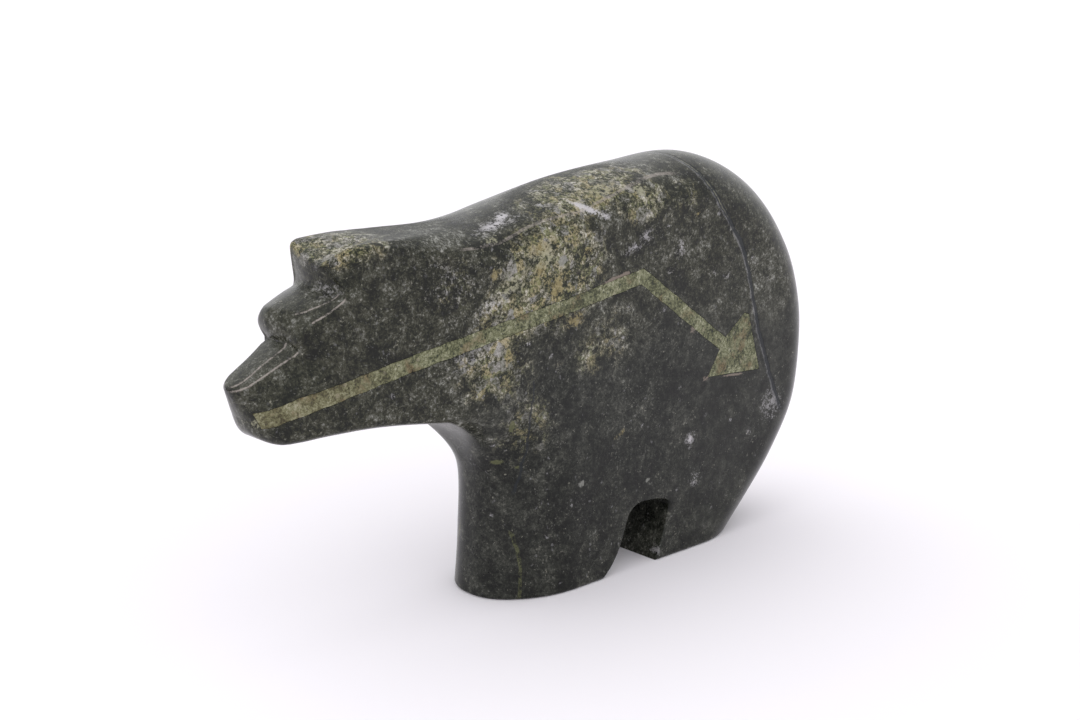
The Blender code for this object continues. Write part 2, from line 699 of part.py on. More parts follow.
def add_cutter(name, mesh, target):
    """Put a cutter into the scene and take it away from its target."""
    cutter = add_object(name, mesh)
    cutter.hide_render = True
    cutter.display_type = "WIRE"
    cut = target.modifiers.new(name, "BOOLEAN")
    cut.operation = "DIFFERENCE"
    cut.solver = "EXACT"
    cut.object = cutter
    return cutter


def shade_round(item):
    """Shade an object smooth except along its sharp edges."""
    item.data.shade_smooth()
    item.data.set_sharp_from_angle(angle=np.radians(SHARP_DEGREES))


def main():
    """Model the bear and its heartline."""
    for item in list(bpy.data.objects):
        bpy.data.objects.remove(item, do_unlink=True)
    slab = Slab()
    heartline = Heartline(slab)
    serpentine = stone("serpentine", SERPENTINE_COLOUR, SERPENTINE_ROUGHNESS)
    lime_stone = stone("heartline_stone", HEARTLINE_COLOUR, HEARTLINE_ROUGHNESS)

    body = add_object("bear_body", box_mesh("bear_body", body_grid(slab)), serpentine)
    shade_round(body)
    add_cutter("notch_cutter", notch_mesh("notch_cutter"), body)
    slot = heartline.solid("slot_cutter", heartline.slot_sheet(), SLOT_DEPTH, SLOT_DEPTH)
    add_cutter("slot_cutter", slot, body)

    floor = SLOT_DEPTH - TILE_GAP
    for number, sheet in enumerate(heartline.tile_sheets(), start=1):
        name = f"heartline_tile_{number}"
        add_object(name, heartline.solid(name, sheet, 0.0, floor), lime_stone)
    arrow = heartline.solid("heartline_arrowhead", heartline.arrow_sheet(), 0.0, floor)
    add_object("heartline_arrowhead", arrow, lime_stone)


main()
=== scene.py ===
"""Looks of a standing bear carved from dark green serpentine, with a heartline of lime coloured stone.

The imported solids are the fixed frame. Fine pieces worked out from the same outline stand for them: the
carved body with its slot, the tiles in the slot and the arrowhead. X runs from the nose to the rump,
the left side faces -Y and Z is up. Sizes of shapes are in metres, and patterns read millimetres.
"""

import logging
from dataclasses import dataclass, field
from enum import Enum, IntEnum

import bpy
import numpy as np
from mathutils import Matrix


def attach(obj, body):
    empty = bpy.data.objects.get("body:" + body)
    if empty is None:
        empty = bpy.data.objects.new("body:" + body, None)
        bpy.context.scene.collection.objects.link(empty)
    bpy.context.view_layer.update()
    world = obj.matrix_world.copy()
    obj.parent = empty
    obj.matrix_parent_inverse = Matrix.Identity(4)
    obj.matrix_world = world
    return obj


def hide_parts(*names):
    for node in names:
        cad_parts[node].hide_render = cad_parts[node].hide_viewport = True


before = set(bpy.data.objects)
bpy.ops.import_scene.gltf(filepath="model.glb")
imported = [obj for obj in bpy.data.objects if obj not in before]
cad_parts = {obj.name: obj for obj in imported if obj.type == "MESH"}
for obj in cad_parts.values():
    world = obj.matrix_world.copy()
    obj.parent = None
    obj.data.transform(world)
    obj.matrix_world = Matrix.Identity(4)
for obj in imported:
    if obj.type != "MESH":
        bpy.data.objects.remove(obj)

LOG = logging.getLogger("bear")
MM_PER_METRE = 1000.0
POINTS_AT_ONCE = 1500
Array = np.ndarray
Pair = tuple[float, float]
Triple = tuple[float, float, float]


def smoothstep(t: Array) -> Array:
    """Ease from 0 to 1: 3 t squared minus 2 t cubed, held at its ends."""
    t = np.clip(t, 0.0, 1.0)
    return t * t * (3.0 - 2.0 * t)


def between(value: Array, limits: Pair) -> Array:
    """Ease from 0 to 1 as a value passes between two limits."""
    return smoothstep((value - limits[0]) / (limits[1] - limits[0]))


def arc_lengths(line: Array) -> Array:
    """Distance along a line of points, from its first point."""
    steps = np.linalg.norm(np.diff(line, axis=0), axis=1)
    return np.concatenate([[0.0], np.cumsum(steps)])


def on_line(line: Array, along: Array, distances: Array) -> Array:
    """Points of a line at the given distances, each coordinate read straight between its points."""
    return np.stack([np.interp(distances, along, part) for part in line.T], axis=-1)


def smooth_curve(points: Array, step: float) -> Array:
    """Curve through the points that bends evenly.

    The curve is a centripetal Catmull-Rom one: each span is a cubic that leaves and meets its end
    points along slopes weighted by the square roots of the spans on either side.

    Args:
        points: The points that the curve passes, one row each.
        step: Rough distance between the points that come back.

    Returns:
        Points along the curve, one row each.
    """
    points = np.asarray(points, dtype=float)
    knots = np.concatenate([[0.0], np.cumsum(np.sqrt(np.linalg.norm(np.diff(points, axis=0), axis=1)))])
    spans = np.diff(knots)
    slopes = np.diff(points, axis=0) / spans[:, None]
    tangents = np.empty_like(points)
    if len(points) == 2:
        tangents[:] = slopes[0]
    else:
        weighted = slopes[:-1] * spans[1:, None] + slopes[1:] * spans[:-1, None]
        tangents[1:-1] = weighted / (spans[:-1] + spans[1:])[:, None]
        tangents[0] = 1.5 * slopes[0] - 0.5 * tangents[1]
        tangents[-1] = 1.5 * slopes[-1] - 0.5 * tangents[-2]
    count = max(8, int(arc_lengths(points)[-1] / step))
    where = np.linspace(0.0, knots[-1], count)
    span = np.clip(np.searchsorted(knots, where, side="right") - 1, 0, len(spans) - 1)
    t = ((where - knots[span]) / spans[span])[:, None]
    reach = spans[span][:, None]
    return ((2 * t**3 - 3 * t**2 + 1) * points[span] + (t**3 - 2 * t**2 + t) * reach * tangents[span]
            + (3 * t**2 - 2 * t**3) * points[span + 1] + (t**3 - t**2) * reach * tangents[span + 1])


def nearest(points: Array, line: Array) -> tuple[Array, Array]:
    """Distance from each point to a line, and the place along the line that is nearest.

    Every point is dropped square onto every piece of the line, and the shortest drop is kept.

    Args:
        points: Points in the XZ plane, one row each.
        line: Points of the line.

    Returns:
        The distances, and the places counted in pieces of the line.
    """
    start, step = line[:-1], np.diff(line, axis=0)
    size = (step**2).sum(-1)
    gaps, wheres = [], []
    for chunk in np.array_split(points, max(1, len(points) // POINTS_AT_ONCE)):
        offset = chunk[:, None] - start[None]
        share = np.clip((offset * step).sum(-1) / size, 0.0, 1.0)
        gap = np.linalg.norm(offset - share[..., None] * step, axis=-1)
        best = gap.argmin(axis=1)
        rows = np.arange(len(chunk))
        gaps.append(gap[rows, best])
        wheres.append(best + share[rows, best])
    return np.concatenate(gaps), np.concatenate(wheres)


def ripple(x: Array, z: Array, seed: float) -> Array:
    """Slow unevenness from 0 to 1: three waves of different lengths that cross at odd angles."""
    first = np.sin(x * 1.00 + z * 0.35 + seed)
    second = np.sin(x * -0.62 + z * 1.31 + 2.1 * seed)
    third = np.sin(x * 1.73 + z * -1.11 + 3.7 * seed)
    return 0.5 + 0.5 * (first + second + 0.6 * third) / 2.6


def gathered(t: Array, share: float) -> Array:
    """Steps from 0 to 1 that gather towards both ends: a share of them follows half a cosine wave."""
    return (1.0 - share) * t + share * 0.5 * (1.0 - np.cos(np.pi * t))


def quarter_round(share: Array) -> Array:
    """Loss beside a quarter-round edge: 1 at the edge and 0 from one reach inside it."""
    return 1.0 - np.sqrt(1.0 - (1.0 - np.clip(share, 0.0, 1.0))**2)


def lesser(a: Array, b: Array, radius: float) -> Array:
    """The lesser of two heights, with the corner between them rounded over a radius."""
    return 0.5 * (a + b - np.sqrt((a - b)**2 + radius**2))


class Mark(IntEnum):
    """Marks along the ridge of the outline, in order."""

    NOSE = 0
    BROW_FOOT = 1
    BROW_EDGE = 2
    EAR_FOOT = 3
    EAR_TIP = 4
    SHOULDER = 5
    RUMP = 6
    THIGH = 7
    HEEL = 8


@dataclass
class Chain:
    """Stretches of outline joined end to end, with softened corners and a mark at every join."""

    stretches: list[Array]
    step: float = 0.0003
    softening: float = 0.0006
    gathering: float = 0.4
    first_power: float = 1.5
    last_power: float = 1.6

    def __post_init__(self) -> None:
        """Join the stretches and soften the joined line."""
        lengths = [arc_lengths(stretch)[-1] for stretch in self.stretches]
        self.marks = np.concatenate([[0.0], np.cumsum(lengths)])
        joined = np.concatenate([self.stretches[0]] + [stretch[1:] for stretch in self.stretches[1:]])
        self.along = np.linspace(0.0, self.marks[-1], int(self.marks[-1] / self.step))
        self.line = self.softened(on_line(joined, arc_lengths(joined), self.along))

    def softened(self, line: Array) -> Array:
        """The line averaged over a short length with a three-cornered weight, its ends carried on."""
        half = max(2, int(self.softening / self.step))
        weights = np.convolve(np.ones(half), np.ones(half))
        weights /= weights.sum()
        pad = len(weights) // 2
        before = line[0] + (line[0] - line[1]) * np.arange(pad, 0, -1)[:, None]
        after = line[-1] + (line[-1] - line[-2]) * np.arange(1, pad + 1)[:, None]
        padded = np.concatenate([before, line, after])
        return np.stack([np.convolve(padded[:, axis], weights, "valid") for axis in range(2)], axis=-1)

    def at(self, distances: Array) -> Array:
        """Points at the given distances along the chain."""
        return on_line(self.line, self.along, distances)

    def part(self, first: int, last: int) -> Array:
        """The chain's own points from one mark to another."""
        return self.line[(self.along >= self.marks[first]) & (self.along <= self.marks[last])]

    def stations(self, steps: tuple[int, ...]) -> Array:
        """Distances of the mesh lines, gathered towards every mark and most of all at the sole."""
        places = [self.marks[:1]]
        for start, end, count in zip(self.marks[:-1], self.marks[1:], steps):
            t = np.arange(1, count + 1) / count
            eased = gathered(t, self.gathering)
            if start == 0.0:
                eased = t**self.first_power
            if end == self.marks[-1]:
                eased = 1.0 - (1.0 - t)**self.last_power
            places.append(start + (end - start) * eased)
        return np.concatenate(places)


@dataclass(frozen=True)
class Rounding:
    """A rounded edge: its line, and at each of its points the reach and the share of width taken."""

    line: Array
    reach: Array
    share: Array

    def measure(self, points: Array, width: Array) -> tuple[Array, Array, Array]:
        """Distance, reach and depth taken from the half width, at points beside the edge."""
        gap, where = nearest(points, self.line)
        steps = np.arange(len(self.line))
        return gap, np.interp(where, steps, self.reach), np.interp(where, steps, self.share) * width


@dataclass(frozen=True)
class Edge:
    """How the slab's top edges are cut at one mark of the outline, in shares of the thickness."""

    crown: float
    left: float
    right: float
    drop: float


@dataclass
class Slab:
    """The bear's outline in the XZ plane, and the half width of the carved slab inside it.

    Lines, marks and places are in shares of the length and height, and the plan and the edges in
    shares of the thickness. An ease says where along the length a form sets in and where it is full.
    Reaches and depths are in metres.
    """

    length: float = 0.127
    height: float = 0.0729
    thickness: float = 0.023
    step: float = 0.0003
    head_line: tuple[Pair, ...] = ((0.000, 0.624), (0.0775, 0.6995), (0.0745, 0.7690), (0.129, 0.8055),
                                   (0.125, 0.894))
    brow_face: tuple[Pair, ...] = ((0.0705, 0.7220), (0.0685, 0.7485))
    back_line: tuple[Pair, ...] = (
        (0.125, 0.894), (0.177, 0.897), (0.254, 0.896), (0.325, 0.900), (0.430, 0.934), (0.540, 0.969),
        (0.659, 0.989), (0.771, 0.995), (0.875, 0.916), (0.955, 0.765), (0.994, 0.600), (1.000, 0.470),
        (0.986, 0.295), (0.934, 0.153), (0.849, 0.000))
    back_marks: tuple[Pair, ...] = ((0.325, 0.900), (0.771, 0.995), (0.986, 0.295))
    jaw_line: tuple[Pair, ...] = ((0.0170, 0.556), (0.025, 0.523), (0.043, 0.502), (0.070, 0.4995),
                                  (0.110, 0.503), (0.178, 0.500), (0.282, 0.476))
    jaw_splits: tuple[float, ...] = (0.0, 0.38, 0.56, 0.62, 0.68, 1.0)
    chest_line: tuple[Pair, ...] = ((0.282, 0.476), (0.332, 0.416), (0.369, 0.306), (0.370, 0.143),
                                    (0.363, 0.000))
    chest_marks: tuple[Pair, ...] = ((0.369, 0.306), (0.370, 0.143))
    throat_mark: int = 5
    plan_line: tuple[Pair, ...] = (
        (-0.02, 0.22), (0.000, 0.320), (0.020, 0.415), (0.079, 0.582), (0.125, 0.684), (0.241, 0.806),
        (0.324, 0.908), (0.408, 0.969), (0.480, 1.000), (0.60, 1.000), (1.02, 1.000))
    plan_step: float = 0.002
    edges: tuple[Edge, ...] = (
        Edge(0.1, 0.046, 0.020, 0.015), Edge(0.2, 0.112, 0.030, 0.041), Edge(0.6, 0.117, 0.050, 0.050),
        Edge(1.1, 0.056, 0.031, 0.026), Edge(0.1, 0.026, 0.020, 0.020), Edge(0.0, 0.0, 0.0, 0.020),
        Edge(0.0, 0.0, 0.0, 0.020), Edge(0.0, 0.0, 0.0, 0.020), Edge(0.0, 0.0, 0.0, 0.020))
    back_reach: float = 0.0073
    rump_reach: float = 0.0092
    chest_reach: float = 0.0147
    jaw_reach: float = 0.0015
    ear_reach: float = 0.0004
    nose_reach: float = 0.0028
    nose_share: float = 0.92
    face_reaches: tuple[float, float] = (0.0016, 0.0021)
    face_share: float = 0.8
    near_reach: float = 0.0060
    near_depth: float = 0.0034
    near_start: Pair = (0.790, 0.860)
    hollow_place: Pair = (0.089, 0.680)
    hollow_size: Pair = (0.0022, 0.0042)
    hollow_depth: float = 0.0006
    nape_ease: Pair = (0.028, 0.268)
    rump_ease: Pair = (0.537, 0.814)
    ear_share: float = 0.05
    nose_ease: Pair = (0.012, 0.060)
    chest_ease: Pair = (-0.018, 0.139)
    jaw_share: float = 0.20
    chest_share: float = 0.74
    head_ease: Pair = (0.176, 0.361)
    muzzle_ease: Pair = (0.060, 0.125)
    muzzle_up: Pair = (0.660, 0.740)
    head_lean: float = 0.05
    muzzle_lean: float = 0.23
    lean_foot: float = 0.564
    unevenness: float = 0.00012
    wave: float = 0.17
    wave_seed: float = 1.3
    least_half: float = 0.00018

    def __post_init__(self) -> None:
        """Draw the outline and set the roundings along it."""
        nose, foot, edge, ear_foot, ear_tip = self.head_line
        stretches = ((nose, foot), (foot, *self.brow_face, edge), (edge, ear_foot), (ear_foot, ear_tip))
        head = [smooth_curve(self.place(stretch), self.step) for stretch in stretches]
        back = smooth_curve(self.place(self.back_line), self.step)
        jaw = smooth_curve(self.place(self.jaw_line), self.step)
        chest = smooth_curve(self.place(self.chest_line), self.step)
        along = arc_lengths(jaw)
        splits = [int(np.abs(along - share * along[-1]).argmin()) for share in self.jaw_splits]
        self.ridge = Chain(head + self.split_at(back, self.back_marks), self.step)
        self.belly = Chain(self.split(jaw, splits) + self.split_at(chest, self.chest_marks), self.step)
        self.nose_line = smooth_curve([self.ridge.line[0], self.belly.line[0]], self.step)
        self.plan = smooth_curve(self.plan_line, self.plan_step)
        self.back = self.back_rounding()
        self.front = self.front_rounding()

    def place(self, points: object) -> Array:
        """Turn shares of the length and height into metres in the XZ plane."""
        shares = np.asarray(points, dtype=float)
        return (shares - np.array([0.5, 0.0])) * np.array([self.length, self.height])

    @staticmethod
    def split(line: Array, places: list[int]) -> list[Array]:
        """Cut a line into pieces at the given points of it."""
        return [line[a:b + 1] for a, b in zip(places[:-1], places[1:])]

    def split_at(self, line: Array, marks: tuple[Pair, ...]) -> list[Array]:
        """Cut a line into pieces at the points nearest to the given marks."""
        inner = [int(np.linalg.norm(line - self.place(mark), axis=1).argmin()) for mark in marks]
        return self.split(line, [0, *inner, len(line) - 1])

    def carried_on(self, line: Array) -> Array:
        """A line carried on straight past its last point, below the ground."""
        direction = line[-1] - line[-4]
        direction /= np.linalg.norm(direction)
        return np.concatenate([line, line[-1:] + direction * self.height / 2])

    def back_rounding(self) -> Rounding:
        """The rounded back, from the ear tips over the rump to the heel."""
        line = self.carried_on(self.ridge.part(Mark.EAR_TIP, Mark.HEEL))
        along = arc_lengths(line) / self.length
        nape = between(along, self.nape_ease)
        rump = between(along, self.rump_ease)
        reach = self.ear_reach + (self.back_reach - self.ear_reach) * nape
        return Rounding(line, reach + (self.rump_reach - self.back_reach) * rump,
                        self.ear_share + (1.0 - self.ear_share) * nape)

    def front_rounding(self) -> Rounding:
        """The rounded nose, jaw, throat and chest, down to the toe."""
        line = self.carried_on(np.concatenate([self.nose_line, self.belly.line[1:]]))
        self.nose_length = arc_lengths(self.nose_line)[-1]
        along = (arc_lengths(line) - self.nose_length) / self.length
        throat = self.belly.marks[self.throat_mark] / self.length
        nose = 1.0 - between(along, self.nose_ease)
        chest = between(along, (throat + self.chest_ease[0], throat + self.chest_ease[1]))
        reach = self.jaw_reach + (self.nose_reach - self.jaw_reach) * nose
        share = self.jaw_share + (self.nose_share - self.jaw_share) * nose
        return Rounding(line, reach + (self.chest_reach - self.jaw_reach) * chest,
                        share + self.chest_share * chest)

    def edge_value(self, distances: Array, name: str) -> Array:
        """One value of the edges, read straight between the marks of the ridge."""
        return np.interp(distances, self.ridge.marks, [getattr(edge, name) for edge in self.edges])

    def plain_half_width(self, points: Array) -> Array:
        """Half width of the slab before its edges are rounded: the plan, less the lean of the head."""
        along = points[:, 0] / self.length + 0.5
        up = points[:, 1] / self.height
        width = np.minimum(np.interp(along, self.plan[:, 0], self.plan[:, 1]), 1.0) * self.thickness / 2
        head = 1.0 - between(along, self.head_ease)
        muzzle = (1.0 - between(along, self.muzzle_ease)) * (1.0 - between(up, self.muzzle_up))
        lean = self.head_lean * head + self.muzzle_lean * muzzle
        return width - lean * np.maximum(up - self.lean_foot, 0.0) * self.height

    def near_loss(self, points: Array) -> Array:
        """What the broad rounding of the ear's left corner takes from the left side, above its foot."""
        gap, _ = nearest(points, self.ridge.part(Mark.EAR_FOOT, Mark.EAR_TIP))
        above = between(points[:, 1] / self.height, self.near_start)
        return self.near_depth * above * quarter_round(gap / self.near_reach)

    def half_width(self, points: Array) -> Array:
        """Half width of the slab at points of the XZ plane.

        From the plain half width, each rounded edge takes its depth times a quarter round of the
        distance to it, and slow hand-ground unevenness takes a little more.

        Args:
            points: Points in the XZ plane, one row each.

        Returns:
            The half width at each point.
        """
        width = self.plain_half_width(points)
        for rounding in (self.back, self.front):
            gap, reach, depth = rounding.measure(points, width)
            width = width - depth * quarter_round(gap / reach)
        for first, last, reach in ((Mark.BROW_FOOT, Mark.BROW_EDGE, self.face_reaches[0]),
                                   (Mark.EAR_FOOT, Mark.EAR_TIP, self.face_reaches[1])):
            gap, _ = nearest(points, self.ridge.part(first, last))
            width = width - self.face_share * reach * quarter_round(gap / reach)
        offset = (points - self.place(self.hollow_place)) / np.array(self.hollow_size)
        width = width - self.hollow_depth * np.exp(-(offset**2).sum(-1))
        scale = 2.0 * np.pi / (self.wave * self.length)
        uneven = self.unevenness * ripple(points[:, 0] * scale, points[:, 1] * scale, self.wave_seed)
        return np.maximum(width - uneven, self.least_half)


@dataclass
class Border:
    """One border of the sides: the outline, the line inside it and the columns between the sides."""

    chain: Chain
    rounding: Rounding
    first_mark: int
    inward: float
    places: Array
    least_inset: Array
    length: float
    lead: float = 0.0
    column_share: float = 0.35
    opening: float = 0.004
    look: float = 0.0012
    sole_share: float = 0.04
    steepest: float = 0.999
    least: float = 1e-6

    def __post_init__(self) -> None:
        """Set the inner line beside the outline, level at the soles."""
        chain, places = self.chain, self.places
        self.outline = chain.at(places)
        ahead = chain.at(np.minimum(places + self.look, chain.marks[-1]))
        behind = chain.at(np.maximum(places - self.look, 0.0))
        normals = (ahead - behind)[:, ::-1] * np.array([1.0, -1.0]) * self.inward
        normals /= np.linalg.norm(normals, axis=1)[:, None]
        sole = smoothstep(1.0 - (chain.marks[-1] - places) / (self.sole_share * self.length))[:, None]
        level = np.array([[np.sign(normals[-1, 0]) / abs(normals[-1, 0]), 0.0]])
        normals = normals * (1.0 - sole) + level * sole
        where = np.maximum(places - chain.marks[self.first_mark], 0.0) + self.lead
        reach = np.interp(where, arc_lengths(self.rounding.line), self.rounding.reach)
        self.rounded = places > chain.marks[self.first_mark]
        opening = np.clip((places - chain.marks[self.first_mark]) / self.opening, 0.0, 1.0)
        opening = opening * (2.0 - opening)
        inset = np.maximum(self.column_share * reach * opening, self.least_inset)
        self.inner = self.outline + normals * inset[:, None]

    def columns(self, slab: Slab, across: Array, half_width: Array) -> Array:
        """Places of the columns: each lies inwards of the outline as far as the rounded edge asks."""
        width = slab.plain_half_width(self.inner)
        _, _, depth = self.rounding.measure(self.inner, width)
        flat = (width - depth)[:, None]

        def inwards(offset: Array) -> Array:
            """Share of the reach at which the rounded edge has the given offset from the middle."""
            share = np.clip((np.abs(offset) - flat) / depth[:, None], 0.0, self.steepest)
            return 1.0 - np.sqrt(1.0 - share**2)

        edge = np.maximum(inwards(half_width[:, None]), self.least)
        curved = np.minimum(inwards(across * half_width[:, None]) / edge, 1.0)
        share = np.where(self.rounded[:, None], curved, np.broadcast_to(across**2, curved.shape))
        share[:, 0] = share[:, -1] = 1.0
        return self.outline[:, None] + (self.inner - self.outline)[:, None] * share[..., None]


@dataclass
class Maker:
    """Puts numpy surfaces into Blender as finished pieces."""

    body: str = "root"

    @staticmethod
    def box_mesh(name: str, grid: Array) -> bpy.types.Mesh:
        """Closed mesh over the six sides of a grid of points, with its faces outwards.

        Args:
            name: Name of the mesh.
            grid: Points, shaped (along, up, across, 3): across runs from left to right.

        Returns:
            The mesh, with only the points of its surface.
        """
        along, up, across = grid.shape[:3]
        ids = np.arange(along * up * across).reshape(along, up, across)
        sides = [ids[:, :, 0], ids[:, ::-1, -1], ids[:, -1, :], ids[:, 0, ::-1], ids[0], ids[-1, ::-1]]
        quads = [np.stack([side[:-1, :-1], side[1:, :-1], side[1:, 1:], side[:-1, 1:]], -1).reshape(-1, 4)
                 for side in sides]
        used, faces = np.unique(np.concatenate(quads), return_inverse=True)
        mesh = bpy.data.meshes.new(name)
        mesh.from_pydata(grid.reshape(-1, 3)[used], [], faces.reshape(-1, 4))
        mesh.validate()
        return mesh

    @staticmethod
    def place(name: str, mesh: bpy.types.Mesh) -> bpy.types.Object:
        """Put a mesh into the scene as an object at the origin."""
        item = bpy.data.objects.new(name, mesh)
        bpy.context.scene.collection.objects.link(item)
        return item

    @staticmethod
    def cut(item: bpy.types.Object, cutters: list[bpy.types.Object]) -> None:
        """Take the cutters away from an object with exact Booleans, and keep the result as its mesh."""
        for cutter in cutters:
            modifier = item.modifiers.new(cutter.name, "BOOLEAN")
            modifier.operation = "DIFFERENCE"
            modifier.solver = "EXACT"
            modifier.object = cutter
        evaluated = item.evaluated_get(bpy.context.evaluated_depsgraph_get())
        mesh = bpy.data.meshes.new_from_object(evaluated)
        item.modifiers.clear()
        item.data = mesh
        for cutter in cutters:
            bpy.data.objects.remove(cutter, do_unlink=True)

    @staticmethod
    def points_of(mesh: bpy.types.Mesh) -> Array:
        """The mesh's points in millimetres, one row each."""
        points = np.empty(len(mesh.vertices) * 3)
        mesh.vertices.foreach_get("co", points)
        return points.reshape(-1, 3) * MM_PER_METRE

    @staticmethod
    def keep(mesh: bpy.types.Mesh, name: str, values: Array) -> None:
        """Store a number or a triple at every point of a mesh, for its material to read."""
        kind = "FLOAT" if values.ndim == 1 else "FLOAT_VECTOR"
        attribute = mesh.attributes.new(name, kind, "POINT")
        attribute.data.foreach_set("value" if values.ndim == 1 else "vector",
                                   np.ascontiguousarray(values, dtype=np.float32).ravel())

    def finish(self, item: bpy.types.Object, material: bpy.types.Material, nodes: list[str],
               degrees: float = 34.0) -> None:
        """Shade, dress and declare a finished piece.

        Args:
            item: The piece.
            material: Its finish.
            nodes: The CAD nodes that the piece stands for.
            degrees: Corners sharper than this angle stay crisp.
        """
        item.data.materials.clear()
        item.data.materials.append(material)
        item.data.shade_smooth()
        item.data.set_sharp_from_angle(angle=np.radians(degrees))
        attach(item, self.body)
        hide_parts(*nodes)
        item.data.calc_loop_triangles()
        LOG.info("%s: %d triangles", item.name, len(item.data.loop_triangles))


@dataclass
class LegNotch:
    """The notch between the legs: a cutter whose rims flare softly at both faces of the slab."""

    slab: Slab
    line: tuple[Pair, ...] = (
        (0.537, 0.000), (0.552, 0.0235), (0.5616, 0.045), (0.5712, 0.0743), (0.5826, 0.1265),
        (0.5883, 0.1473), (0.5983, 0.1613), (0.6083, 0.1661), (0.6266, 0.165), (0.6472, 0.1605),
        (0.6600, 0.1545), (0.6675, 0.1455), (0.6666, 0.1195), (0.6628, 0.0945), (0.6531, 0.0455),
        (0.6454, 0.0118), (0.6430, 0.000))
    flare: float = 0.0006
    below: float = 0.004
    step: float = 0.0005
    beyond: float = 0.002
    level_steps: int = 14
    turn_steps: int = 9
    floor_drop: float = 0.001

    def cutter(self) -> bpy.types.Object:
        """The cutter: the notch's line repeated across the slab, spread out by a quarter round near
        each face, and closed below the soles.

        Returns:
            The cutter as an object.
        """
        line = smooth_curve(self.slab.place(self.line), self.step)
        line = np.concatenate([line[:1] - [[0.0, self.below]], line, line[-1:] - [[0.0, self.below]]])
        along = np.gradient(line, axis=0)
        normals = np.stack([-along[:, 1], along[:, 0]], axis=-1)
        normals /= np.linalg.norm(normals, axis=1)[:, None]
        face = self.slab.thickness / 2
        turns = np.linspace(0.0, np.pi / 2, self.turn_steps)
        near = np.concatenate([np.linspace(0.0, face - self.flare, self.level_steps, endpoint=False),
                               face - self.flare + self.flare * np.sin(turns), [face + self.beyond]])
        spread = np.concatenate([np.zeros(self.level_steps), self.flare * (1.0 - np.cos(turns)),
                                 [self.flare]])
        level = np.concatenate([-near[::-1], near[1:]])
        spread = np.concatenate([spread[::-1], spread[1:]])
        outline = line[:, None] + normals[:, None] * spread[None, :, None]
        share = np.linspace(0.0, 1.0, len(line))[:, None, None]
        floor = outline[:1] + (outline[-1:] - outline[:1]) * share
        floor[..., 1] -= self.floor_drop
        flat = np.stack([floor, outline], axis=1)
        grid = np.empty((*flat.shape[:3], 3))
        grid[..., 0], grid[..., 2] = flat[..., 0], flat[..., 1]
        grid[..., 1] = level[None, None]
        return Maker.place("notch_cutter", Maker.box_mesh("notch_cutter", grid))


